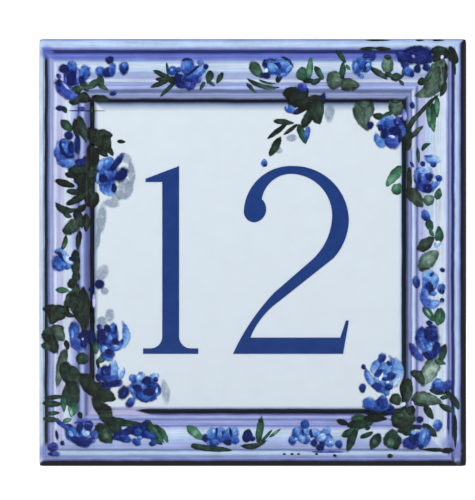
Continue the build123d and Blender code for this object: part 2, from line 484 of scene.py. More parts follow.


# Painted bands of each rail, from the field outwards: distance out in millimetres and colour.
# They hold painted light and shade as well as paint: a painted shadow of the frame on the field
# beside the dark line, painted highlights on the beads, and an outer band and side that are pale
# on the upper and left rails and near black on the lower and right ones, painted as lit from the upper
# left.
RAIL_BANDS: dict[Rail, dict[float, Paint]] = {
    Rail.TOP: {
        -3.2: Paint.ICE, -1.4: Paint.SHADE, -0.5: Paint.SLATE, 0.0: Paint.INK, 1.0: Paint.INK,
        1.8: Paint.LILAC, 2.7: Paint.LILAC, 3.3: Paint.SLATE, 4.1: Paint.SLATE, 4.9: Paint.LILAC,
        6.0: Paint.LILAC, 6.6: Paint.HEATHER, 7.3: Paint.FROST, 8.2: Paint.DUSK, 9.8: Paint.DUSK,
        11.0: Paint.SKY, 12.6: Paint.FROST, 13.6: Paint.SKY, 14.6: Paint.HEATHER, 15.4: Paint.PERIWINKLE,
        16.3: Paint.PERIWINKLE, 17.2: Paint.INDIGO, 17.9: Paint.INDIGO, 18.8: Paint.HEATHER,
        19.5: Paint.SKY, 20.6: Paint.SKY, 21.3: Paint.LILAC, 21.9: Paint.MAUVE,
    },
    Rail.BOTTOM: {
        -0.7: Paint.ICE, 0.1: Paint.SHADE, 0.6: Paint.INK, 1.8: Paint.INK, 2.4: Paint.MAUVE,
        3.0: Paint.LILAC, 3.9: Paint.MAUVE, 4.6: Paint.LILAC, 5.5: Paint.LILAC, 6.1: Paint.MAUVE,
        6.8: Paint.LILAC, 7.8: Paint.FROST, 10.0: Paint.SKY, 12.2: Paint.LILAC, 13.9: Paint.DUSK,
        14.5: Paint.SLATE, 15.2: Paint.SKY, 15.9: Paint.SKY, 16.6: Paint.LILAC, 17.4: Paint.LILAC,
        18.0: Paint.MAUVE, 18.5: Paint.SOOT, 20.4: Paint.SOOT,
    },
    Rail.LEFT: {
        -1.2: Paint.ICE, -0.3: Paint.SHADE, 0.4: Paint.INK, 1.6: Paint.INK, 2.2: Paint.MAUVE,
        2.8: Paint.SLATE, 3.4: Paint.MAUVE, 4.1: Paint.LILAC, 4.8: Paint.DUSK, 5.6: Paint.SLATE,
        6.4: Paint.HEATHER, 7.4: Paint.LILAC, 8.8: Paint.FROST, 10.4: Paint.FROST, 11.6: Paint.ORCHID,
        13.0: Paint.ORCHID, 13.8: Paint.PEARL, 14.6: Paint.DUSK, 15.2: Paint.LILAC, 15.8: Paint.MAUVE,
        16.2: Paint.SLATE, 16.5: Paint.INK, 17.4: Paint.INK, 17.9: Paint.SKY, 19.0: Paint.FROST,
        19.5: Paint.LILAC,
    },
    Rail.RIGHT: {
        -0.8: Paint.ICE, 0.0: Paint.SKY, 0.5: Paint.INK, 1.7: Paint.INK, 2.4: Paint.SLATE,
        3.0: Paint.HEATHER, 3.5: Paint.SLATE, 4.1: Paint.PEARL, 4.9: Paint.LILAC, 5.6: Paint.SLATE,
        6.3: Paint.LILAC, 7.4: Paint.ORCHID, 9.5: Paint.SKY, 12.2: Paint.FROST, 14.4: Paint.FROST,
        15.2: Paint.PEARL, 15.8: Paint.LILAC, 16.5: Paint.MAUVE, 17.3: Paint.LILAC, 17.7: Paint.INDIGO,
        18.5: Paint.INDIGO, 19.0: Paint.SKY, 19.4: Paint.SKY, 20.0: Paint.LILAC, 20.6: Paint.MAUVE,
        21.0: Paint.INK, 22.9: Paint.INK,
    },
}


@dataclass(frozen=True)
class RailPaint:
    """How the painted bands, with their painted light and shade, follow the four rails, in millimetres."""

    low: float = -4.0
    high: float = 23.0
    drift: float = 0.3
    drift_reach: float = 11.0
    mitre_soft: float = 0.5
    worn_corner: Place = (-47.5, 0.0, -54.5)
    worn_reach: float = 8.0
    worn_soft: float = 1.0
    worn_taper: float = 4.0
    line_begins: Point = (-0.6, -0.2)
    line_ends: Point = (2.2, 2.8)
    smear_core: float = 0.35
    smear_cover: float = 0.85
    # Soft dabs at the corners; the near-black ones at the lower right corner are painted shade of the edge
    smears_and_shade: tuple[tuple[float, float, float, Paint], ...] = (
        (68.6, -67.4, 4.0, Paint.HEATHER), (71.0, -68.0, 3.0, Paint.MAUVE), (71.4, -71.0, 2.4, Paint.MAUVE),
        (74.0, -69.6, 1.6, Paint.SOOT), (73.9, -71.8, 1.5, Paint.SOOT), (71.8, -74.2, 2.0, Paint.SOOT),
        (-72.2, 70.2, 3.2, Paint.PERIWINKLE), (-73.0, -69.8, 3.8, Paint.HEATHER),
    )

    def place(self, add: Adder) -> Sockets:
        """Works out where a point lies on the moulding.

        Args:
            add: Adds a node to the material's tree.

        Returns:
            Sockets for the point in millimetres, its place on the front from the middle of the
            moulding, its depth, its distance out from the field, its place along the rail, and
            masks for the upright rails, the right half and the upper half.
        """
        point = place_on_piece(add)
        to_middle = (-MOULDING.shift_x, 0, -MOULDING.shift_z)
        centred = add(VECTOR_MATH, (point, to_middle), operation="ADD")
        flat = add(VECTOR_MATH, (centred, (1.0, 0.0, 1.0)), operation="MULTIPLY")
        x = add(SEPARATE, (centred,), out="X")
        depth, z = x.node.outputs["Y"], x.node.outputs["Z"]
        across = add(MATH, (x,), operation="ABSOLUTE")
        up = add(MATH, (z,), operation="ABSOLUTE")
        far = add(MATH, (across, up), operation="MAXIMUM")
        out = add(MATH, (far, MOULDING.field_half), operation="SUBTRACT")
        aside = add(MATH, (across, up), operation="SUBTRACT")
        mitre = {"From Min": -self.mitre_soft, "From Max": self.mitre_soft}
        upright = add(MAP_RANGE, {"Value": aside, **mitre})
        along = add(MIX, {"Factor": upright, NUMBER_A: x, NUMBER_B: z}, data_type="FLOAT")
        right = add(MATH, (x, 0.0), operation="GREATER_THAN")
        top = add(MATH, (z, 0.0), operation="GREATER_THAN")
        return {
            "point": point, "flat": flat, "depth": depth, "out": out, "along": along,
            "upright": upright, "right": right, "top": top,
        }

    def bands(self, add: Adder, at: Sockets) -> Socket:
        """Paints the bands of the four rails, painted light and shade included,
        with the slight drift of a brush held by hand.

        Args:
            add: Adds a node to the material's tree.
            at: What place() gave.

        Returns:
            The colour.
        """
        wander = add(
            NOISE, {"Vector": at["point"], "Scale": 1 / self.drift_reach, "Detail": 3.0, "Roughness": 0.65}
        )
        drift = add(MAP_RANGE, {"Value": wander, "To Min": -self.drift, "To Max": self.drift})
        moved = add(MATH, (at["out"], drift), operation="ADD")
        share = add(MAP_RANGE, {"Value": moved, "From Min": self.low, "From Max": self.high})
        span = self.high - self.low
        # One ramp for each rail: painted light on the upper and left rails, painted shade on the lower and
        # right ones
        rails = {
            rail: add(
                RAMP, {"Fac": share},
                stops=[((out - self.low) / span, paint.linear) for out, paint in RAIL_BANDS[rail].items()],
            )
            for rail in Rail
        }
        level, sides = (
            add(MIX, {"Factor": at[mask], COLOUR_A: rails[off], COLOUR_B: rails[on]}, **COLOUR_MIX)
            for mask, off, on in (("top", Rail.BOTTOM, Rail.TOP), ("right", Rail.LEFT, Rail.RIGHT))
        )
        painted = add(MIX, {"Factor": at["upright"], COLOUR_A: level, COLOUR_B: sides}, **COLOUR_MIX)
        for x, z, reach, paint in self.smears_and_shade:
            spot = (x - MOULDING.shift_x, 0.0, z - MOULDING.shift_z)
            painted = self.smear(add, at, painted, spot, reach, paint)
        return self.wear_corner(add, at, painted)

    def smear(
        self, add: Adder, at: Sockets, painted: Socket, spot: Place, reach: float, paint: Paint
    ) -> Socket:
        """Lays a soft dab of one colour over the bands: paint where a brush turned a corner, and painted
        shade at the lower right corner.

        Args:
            add: Adds a node to the material's tree.
            at: What place() gave.
            painted: The colour so far.
            spot: Middle of the dab, from the middle of the moulding, in millimetres.
            reach: How far it goes.
            paint: Its colour.

        Returns:
            The colour with the dab.
        """
        away = add(VECTOR_MATH, (at["flat"], spot), out="Value", operation="DISTANCE")
        share = add(
            MAP_RANGE,
            {
                "Value": away, "From Min": self.smear_core * reach, "From Max": reach,
                "To Min": self.smear_cover, "To Max": 0.0,
            },
            interpolation_type="SMOOTHSTEP",
        )
        return add(MIX, {"Factor": share, COLOUR_A: painted, COLOUR_B: paint.linear}, **COLOUR_MIX)

    def wear_corner(self, add: Adder, at: Sockets, painted: Socket) -> Socket:
        """Leaves the dark line out of the lower left corner, where the garland crosses it.

        Args:
            add: Adds a node to the material's tree.
            at: What place() gave.
            painted: The colour of the bands.

        Returns:
            The colour with the bare corner.
        """
        away = add(VECTOR_MATH, (at["flat"], self.worn_corner), out="Value", operation="DISTANCE")
        middle = add(MATH, (at["out"], MOULDING.bead_start / 2), operation="SUBTRACT")
        beside = add(MATH, (middle,), operation="ABSOLUTE")
        tapered = add(MATH, (beside, -self.worn_taper, away), operation="MULTIPLY_ADD")
        starts, ends = self.worn_reach - self.worn_soft, self.worn_reach + self.worn_soft
        near = add(MAP_RANGE, {"Value": tapered, "From Min": starts, "From Max": ends, **FALLING})
        starts, ends = self.line_begins
        begun = add(MAP_RANGE, {"Value": at["out"], "From Min": starts, "From Max": ends})
        starts, ends = self.line_ends
        ended = add(MAP_RANGE, {"Value": at["out"], "From Min": starts, "From Max": ends, **FALLING})
        line = add(MATH, (ended, begun), operation="MULTIPLY")
        share = add(MATH, (line, near), operation="MULTIPLY")
        bare = Paint.ORCHID.linear
        return add(MIX, {"Factor": share, COLOUR_A: painted, COLOUR_B: bare}, **COLOUR_MIX)


@dataclass(frozen=True)
class GlazedEarthenware:
    """Painted and glazed earthenware: a wet-looking coat over brushed colour and painted light and shade, a
    little uneven.

    The eye gets soft streaks along each rail where the brush ran, faint clouds in the pale ground,
    a gentle ripple in the gloss, and bare clay where the glaze stops short of the back.
    """

    name: str = "glazed_earthenware"
    rails: RailPaint = RailPaint()
    gloss: float = 0.16
    bare_roughness: float = 0.8
    frame_edge: Point = (1.8, 2.6)
    streak_width: float = 0.7
    streak_length: float = 22.0
    streak_swing: float = 0.16
    cloud: float = 6.0
    cloud_swing: float = 0.1
    field_clouds: float = 0.16
    ripple: float = 5.0
    ripple_depth: float = 0.06
    glaze_stop: float = -3.4
    glaze_ragged: float = 1.0

    def material(self) -> Material:
        """Builds the material.

        Returns:
            The glazed and painted material of the tile.
        """
        made, add = blank_material(self.name)
        at = self.rails.place(add)
        painted = self.rails.bands(add, at)
        lengthways = add(MATH, (at["along"], 1 / self.streak_length), operation="MULTIPLY")
        crossways = add(MATH, (at["out"], 1 / self.streak_width), operation="MULTIPLY")
        brushed = add(COMBINE, {"X": lengthways, "Y": crossways, "Z": at["upright"]})
        streaks = add(NOISE, {"Vector": brushed, "Scale": 1.0, "Detail": 4.0, "Roughness": 0.6})
        clouds = add(
            NOISE, {"Vector": at["point"], "Scale": 1 / self.cloud, "Detail": 5.0, "Roughness": 0.6}
        )
        on_frame = {"Value": at["out"], "From Min": self.frame_edge[0], "From Max": self.frame_edge[1]}
        streak_share = add(MAP_RANGE, on_frame)
        cloud_share = add(MAP_RANGE, {**on_frame, "To Min": self.field_clouds, "To Max": 1.0})
        swing, blotch = (
            add(MAP_RANGE, {"Value": pattern, **NOISE_SPAN, "To Min": -most, "To Max": most})
            for pattern, most in ((streaks, self.streak_swing), (clouds, self.cloud_swing))
        )
        brushwork = add(MATH, (swing, streak_share), operation="MULTIPLY")
        change = add(MATH, (blotch, cloud_share, brushwork), operation="MULTIPLY_ADD")
        bright = add(MATH, (change, 1.0), operation="ADD")
        toned = add("ShaderNodeHueSaturation", {"Value": bright, "Color": painted})
        lowest, highest = self.glaze_stop - self.glaze_ragged, self.glaze_stop + self.glaze_ragged
        ragged = add(MAP_RANGE, {"Value": clouds, "To Min": lowest, "To Max": highest})
        bare = add(MATH, (at["depth"], ragged), operation="GREATER_THAN")
        clay = Paint.BISQUE.linear
        colour = add(MIX, {"Factor": bare, COLOUR_A: toned, COLOUR_B: clay}, **COLOUR_MIX)
        rough = add(MAP_RANGE, {"Value": bare, "To Min": self.gloss, "To Max": self.bare_roughness})
        waves = add(
            NOISE, {"Vector": at["point"], "Scale": 1 / self.ripple, "Detail": 2.0, "Roughness": 0.5}
        )
        bump = add(BUMP, {"Height": waves, "Strength": 0.35, "Distance": self.ripple_depth * MM})
        dress_surface(add, {"Base Color": colour, "Roughness": rough, "Normal": bump, **FIRED_GLAZE})
        return made


@dataclass(frozen=True)
class BareBisque:
    """Fired clay without glaze: matt, buff, gritty and a little stained.

    The grit is drawn coarser than real grit, so that it shows in the render.
    """

    grit: float = 0.5
    grit_depth: float = 0.08
    stain: float = 18.0
    roughness: float = 0.85

    def material(self) -> Material:
        """Builds the material.

        Returns:
            The bare clay of the back.
        """
        made, add = blank_material("bare_bisque")
        point = place_on_piece(add)
        stains = add(NOISE, {"Vector": point, "Scale": 1 / self.stain, "Detail": 6.0, "Roughness": 0.6})
        grains = add(NOISE, {"Vector": point, "Scale": 1 / self.grit, "Detail": 2.0, "Roughness": 0.7})
        share = add(MATH, (stains, grains), operation="MULTIPLY")
        stops = [(0.1, Paint.BISQUE_DARK.linear), (0.3, Paint.BISQUE.linear)]
        colour = add(RAMP, {"Fac": share}, stops=stops)
        bump = add(BUMP, {"Height": grains, "Strength": 0.5, "Distance": self.grit_depth * MM})
        dress_surface(
            add, {"Base Color": colour, "Roughness": self.roughness, "Normal": bump, "IOR": CERAMIC_IOR}
        )
        return made


@dataclass(frozen=True)
class BrushedEnamel:
    """Fired enamel laid on with a flat brush: even colour, a little thinner in places."""

    name: str
    deep: str
    thin: str
    patch: float = 4.0
    patch_depth: float = 0.04
    gloss: float = 0.2

    def material(self) -> Material:
        """Builds the material.

        Returns:
            The enamel, deeper where it lies thick.
        """
        made, add = blank_material(self.name)
        point = place_on_piece(add)
        patches = add(NOISE, {"Vector": point, "Scale": 1 / self.patch, "Detail": 4.0, "Roughness": 0.65})
        stops = [(0.35, to_linear(self.deep)), (0.7, to_linear(self.thin))]
        colour = add(RAMP, {"Fac": patches}, stops=stops)
        bump = add(BUMP, {"Height": patches, "Strength": 0.25, "Distance": self.patch_depth * MM})
        dress_surface(add, {"Base Color": colour, "Roughness": self.gloss, "Normal": bump, **FIRED_GLAZE})
        return made


@dataclass(frozen=True)
class StrokeEnamel:
    """Enamel laid on with a loaded round brush.

    Each stroke runs from full colour at its root to thinner colour at its tip, is palest in its
    middle, gets darker towards its edge, where it thins out and lets the ground through, and
    keeps faint hair lines of the brush. Only its upper side shows.
    """

    name: str
    ramp: tuple[tuple[float, str], ...]
    other: tuple[tuple[float, str], ...]
    fade: float = 0.16
    pooling: float = 0.2
    pool_shares: Point = (0.4, 2.0)
    dome: float = 0.45
    mottle: float = 0.2
    mottle_reach: float = 1.8
    hair: float = 0.1
    hair_run: Place = (0.6, 5.0, 40.0)
    hair_depth: float = 0.03
    lean: float = 0.08
    fray: float = 0.6
    feather: float = 0.2
    gloss: float = 0.2

    def material(self) -> Material:
        """Builds the material.

        Returns:
            The enamel, coloured from each stroke's own attributes.
        """
        made, add = blank_material(self.name)
        tone, hue, along, across, rim = (
            add(ATTRIBUTE, out="Fac", attribute_name=name)
            for name in ("tone", "hue", "along", "across", "rim")
        )
        point = place_on_piece(add)
        mottle = add(
            NOISE, {"Vector": point, "Scale": 1 / self.mottle_reach, "Detail": 3.0, "Roughness": 0.55}
        )
        run = add(COMBINE, {"X": along, "Y": across, "Z": tone})
        stretched = add(VECTOR_MATH, (run, self.hair_run), operation="MULTIPLY")
        hairs = add(NOISE, {"Vector": stretched, "Scale": 1.0, "Detail": 2.0})
        leant = add(MATH, (across, self.lean, tone), operation="MULTIPLY_ADD")
        faded = add(MATH, (along, self.fade, leant), operation="MULTIPLY_ADD")
        rounded = add(MATH, (rim, rim), operation="MULTIPLY")
        domed = add(MATH, (self.dome, rounded), operation="SUBTRACT")
        least, most = (share * self.pooling for share in self.pool_shares)
        depth = add(MAP_RANGE, {"Value": tone, "To Min": least, "To Max": most})
        pooled = add(MATH, (domed, depth), operation="MULTIPLY")
        patchy, lined = (
            add(MAP_RANGE, {"Value": pattern, **NOISE_SPAN, "To Min": -swing, "To Max": swing})
            for pattern, swing in ((mottle, self.mottle), (hairs, self.hair))
        )
        shaped = add(MATH, (faded, pooled), operation="ADD")
        uneven = add(MATH, (patchy, lined), operation="ADD")
        total = add(MATH, (shaped, uneven), operation="ADD")
        main_hue, other_hue = (
            add(RAMP, {"Fac": total}, stops=[(spot, to_linear(shade)) for spot, shade in stops])
            for stops in (self.ramp, self.other)
        )
        colour = add(MIX, {"Factor": hue, COLOUR_A: main_hue, COLOUR_B: other_hue}, **COLOUR_MIX)
        bump = add(BUMP, {"Height": hairs, "Strength": 0.2, "Distance": self.hair_depth * MM})
        frayed = add(MATH, (patchy, self.fray, rim), operation="MULTIPLY_ADD")
        cover = add(
            MAP_RANGE, {"Value": frayed, "From Min": 1 - self.feather, "From Max": 1.0, **FALLING},
            interpolation_type="SMOOTHSTEP",
        )
        shown = upper_side(add, cover)
        dress_surface(
            add,
            {"Base Color": colour, "Roughness": self.gloss, "Normal": bump, "Alpha": shown, **FIRED_GLAZE},
        )
        return made


@dataclass(frozen=True)
class ShadeWash:
    """Thin grey wash beside the roses: it fades into the pale ground at its edge."""

    grey: str = "#8c9fb6"
    reach: float = 2.2
    cover: Point = (0.35, 0.85)
    soft_from: float = 0.55
    gloss: float = 0.16

    def material(self) -> Material:
        """Builds the material.

        Returns:
            The wash, coloured from each stroke's own attributes.
        """
        made, add = blank_material("grey_wash")
        tone, rim = (add(ATTRIBUTE, out="Fac", attribute_name=name) for name in ("tone", "rim"))
        point = place_on_piece(add)
        mottle = add(NOISE, {"Vector": point, "Scale": 1 / self.reach, "Detail": 3.0, "Roughness": 0.6})
        soft = add(
            MAP_RANGE, {"Value": rim, "From Min": self.soft_from, "From Max": 1.0, **FALLING},
            interpolation_type="SMOOTHSTEP",
        )
        least, most = self.cover
        patchy = add(MAP_RANGE, {"Value": mottle, **NOISE_SPAN, "To Min": least, "To Max": most})
        thick = add(MATH, (tone, patchy), operation="MULTIPLY")
        share = add(MATH, (thick, soft), operation="MULTIPLY")
        shown = upper_side(add, share)
        dress_surface(
            add,
            {"Base Color": to_linear(self.grey), "Roughness": self.gloss, "Alpha": shown, **FIRED_GLAZE},
        )
        return made


@dataclass
class GlazedTile:
    """The pressed tile: field, moulded frame, softened edge and a back with adhesive pockets."""

    rings: Rings = Rings()
    edge_soft: float = 1.1475
    edge_turns: int = 6
    corner_round: float = 0.8
    least_corner: float = 0.05
    shoulder_level: float = 6.88
    side_shares: tuple[float, ...] = (0.35, 0.7, 1.0)
    back_half: float = 74.64
    pocket_count: int = 4
    pocket_pitch: float = 34.07
    pocket_side: float = 29.07
    pocket_depth: float = 1.0
    pocket_lean: float = 0.364
    crease: float = 50.0
    glaze: GlazedEarthenware = GlazedEarthenware()
    bisque: BareBisque = BareBisque()

    def edge(self) -> list[list[Vector]]:
        """Rings from the outer band over the softened edge and down the sides.

        Returns:
            The rings, from the front to the back.
        """
        half = MOULDING.side / 2
        made = []
        for i in range(self.edge_turns + 1):
            angle = math.pi / 2 * i / self.edge_turns
            inset = self.edge_soft * (1 - math.sin(angle))
            level = MOULDING.rim_level - self.edge_soft * (1 - math.cos(angle))
            corner = max(self.corner_round - inset, self.least_corner)
            made.append(self.rings.outline_ring(half - inset, corner, level))
        made.append(self.rings.outline_ring(half, self.corner_round, self.shoulder_level))
        for share in self.side_shares:
            side = half + (self.back_half - half) * share
            made.append(self.rings.outline_ring(side, self.corner_round, self.shoulder_level * (1 - share)))
        return made

    def lay_field(self, shell: Shell, border: Ring) -> None:
        """Fills the flat field inside the first ring.

        Args:
            shell: The tile's mesh.
            border: The first ring.
        """
        steps = self.rings.steps
        grid: dict[tuple[int, int], bmesh.types.BMVert] = {}
        for k in range(steps):
            grid[k, 0] = border[k]
            grid[steps, k] = border[steps + k]
            grid[steps - k, steps] = border[2 * steps + k]
            grid[0, steps - k] = border[3 * steps + k]
        for i in range(1, steps):
            for j in range(1, steps):
                x = MOULDING.shift_x + MOULDING.field_half * self.rings.share(i)
                z = MOULDING.shift_z + MOULDING.field_half * self.rings.share(j)
                grid[i, j] = shell.verts.new(self.rings.settle(x, z, MOULDING.field_level))
        for i in range(steps):
            for j in range(steps):
                shell.faces.new((grid[i, j], grid[i + 1, j], grid[i + 1, j + 1], grid[i, j + 1]))

    def sink_pockets(self, shell: Shell, border: Ring) -> None:
        """Closes the back with a flat face and its sunk adhesive pockets.

        Args:
            shell: The tile's mesh.
            border: The last ring, at the back.
        """
        count = len(border)
        rim = [shell.edges.get((border[i], border[(i + 1) % count])) for i in range(count)]
        first = -(self.pocket_count - 1) / 2 * self.pocket_pitch
        half = self.pocket_side / 2
        bare = []
        for row in range(self.pocket_count):
            for column in range(self.pocket_count):
                x, z = first + column * self.pocket_pitch, first + row * self.pocket_pitch
                mouth = self.pocket_corners(shell, x, z, half, 0.0)
                floor = self.pocket_corners(shell, x, z, half - self.pocket_lean, self.pocket_depth)
                for i in range(4):
                    j = (i + 1) % 4
                    rim.append(shell.edges.new((mouth[i], mouth[j])))
                    bare.append(shell.faces.new((mouth[i], mouth[j], floor[j], floor[i])))
                bare.append(shell.faces.new(floor))
        filled = bmesh.ops.triangle_fill(shell, edges=rim, use_beauty=True)
        bare += [made for made in filled["geom"] if isinstance(made, bmesh.types.BMFace)]
        for face in bare:
            face.material_index = 1

    def pocket_corners(self, shell: Shell, x: float, z: float, half: float, depth: float) -> Ring:
        """Adds the four corners of a pocket at one depth.

        Args:
            shell: The tile's mesh.
            x: Its middle across, in millimetres.
            z: Its middle up, in millimetres.
            half: Half its side, in millimetres.
            depth: Depth from the back, in millimetres.

        Returns:
            The corners in order.
        """
        turns = ((-1, -1), (1, -1), (1, 1), (-1, 1))
        return [shell.verts.new(Vector((x + half * a, -depth, z + half * b)) * MM) for a, b in turns]

    def build(self) -> Piece:
        """Builds and dresses the tile.

        Returns:
            The tile, in the place of its solid.
        """
        shell = bmesh.new()
        places = [self.rings.moulding_ring(out, level) for out, level in MOULDING.section()]
        places += self.edge()
        rings = [[shell.verts.new(spot) for spot in ring] for ring in places]
        self.lay_field(shell, rings[0])
        for inner, outer in zip(rings, rings[1:]):
            bridge(shell, inner, outer)
        self.sink_pockets(shell, rings[-1])
        mesh = finish_mesh(shell, "glazed_tile", self.crease)
        mesh.materials.append(self.glaze.material())
        mesh.materials.append(self.bisque.material())
        made = add_object("glazed_tile", mesh)
        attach(made, "root")
        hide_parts("tile")
        return made


@dataclass
class PooledLines:
    """Dark glaze that has run into the two quirks of the moulding and pooled there.

    It is coloured with the rails' painted bands, painted shade of the edge included.
    """

    rings: Rings = Rings()
    pool: float = 0.25
    bed_points: int = 16
    bed_sink: float = 0.02
    dip: float = 0.05
    crease: float = 60.0
    # The rails' painted bands again, with their painted light and shade
    glaze: GlazedEarthenware = GlazedEarthenware("pooled_dark_glaze", gloss=0.1)

    def line(self, name: str, start: float, end: float, level: float, depth: float) -> Piece:
        """Builds one pooled line as a closed ring.

        Args:
            name: The piece's name.
            start: Where its quirk begins, out from the field, in millimetres.
            end: Where the quirk ends.
            level: The level of the quirk's shoulders.
            depth: The quirk's depth.

        Returns:
            The ring.
        """
        bed = MOULDING.quirk((start, level), (end, level), depth, self.bed_points)
        top = level - depth + self.pool
        under = [(out, low - self.bed_sink) for out, low in bed if low < top]
        surface = [(under[-1][0], top), ((start + end) / 2, top - self.dip), (under[0][0], top)]
        shell = bmesh.new()
        places = [self.rings.moulding_ring(out, low) for out, low in under + surface]
        loop = [[shell.verts.new(spot) for spot in ring] for ring in places]
        for i, ring in enumerate(loop):
            bridge(shell, ring, loop[(i + 1) % len(loop)])
        return add_object(name, finish_mesh(shell, name, self.crease))

    def build(self) -> list[Piece]:
        """Builds and dresses both lines.

        Returns:
            The line round the field and the line near the outer edge.
        """
        sight = self.line(
            "sight_line_glaze", 0.0, MOULDING.bead_start, MOULDING.field_level, MOULDING.sight_depth
        )
        outer = self.line(
            "outer_line_glaze", MOULDING.edge_quirk_start, MOULDING.edge_band_start,
            MOULDING.rim_level, MOULDING.edge_depth,
        )
        finish = self.glaze.material()
        for made, node in ((sight, "sight_line"), (outer, "outer_line")):
            made.data.materials.append(finish)
            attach(made, "root")
            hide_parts(node)
        return [sight, outer]


@dataclass
class Numerals:
    """The two painted digits, whose solids keep their shape."""

    nodes: tuple[str, ...] = ("numeral_one", "numeral_two")
    cobalt: BrushedEnamel = BrushedEnamel("cobalt_enamel", "#113274", "#193c7c", patch=5.0)

    def dress(self) -> None:
        """Gives both digits the cobalt enamel."""
        finish = self.cobalt.material()
        for name in self.nodes:
            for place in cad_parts[name].material_slots:
                place.material = finish


# Brush strokes of the garland, in millimetres from the middle of the tile: from x, z to x, z, width,
# tone from 0 (dark) to 1 (pale), share of the second hue, and bow to the left of the stroke, where the
# last two may be left out. The darkest petals have a tone a little below 0. A wash's tone is its strength.
GREY_ROWS: tuple[Row, ...] = (
    (-45.4, 34.8, -43.2, 31.2, 2.4, 0.7), (-43.4, 32.4, -42.6, 23.4, 2.0, 0.9, 0, 0.5),
    (-43.0, 25.4, -44.6, 18.8, 2.2, 1.0, 0, 0.3), (-47.6, 23.4, -44.2, 22.4, 2.4, 0.6),
    (-49.6, 20.4, -46.4, 18.6, 2.4, 0.9), (-52.8, 17.4, -46.8, 16.6, 2.4, 0.95, 0, 0.4),
    (-52.8, 17.0, -54.2, 6.0, 2.6, 1.0, 0, 0.3), (-54.0, 9.0, -54.8, 1.0, 1.4, 1.0),
    (-54.4, -10.0, -51.4, -4.4, 3.2, 0.8), (-52.8, -14.6, -51.4, -12.4, 2.2, 0.9),
    (-50.2, -24.5, -50.2, -19.6, 2.6, 0.8), (-54.4, -25.4, -51.6, -23.2, 3.0, 0.9),
    (-31.8, -44.5, -30.5, -53.5, 2.4, 0.7, 0, 0.6), (26.6, 45.6, 27.4, 52.4, 2.8, 0.8),
    (11.8, 40.2, 15.6, 40.4, 2.0, 0.8), (8.6, 34.8, 9.8, 37.0, 2.0, 0.7),
    (-46.8, 25.4, -43.4, 24.4, 2.2, 0.9), (-48.6, 21.6, -44.6, 19.0, 2.4, 1.0),
)

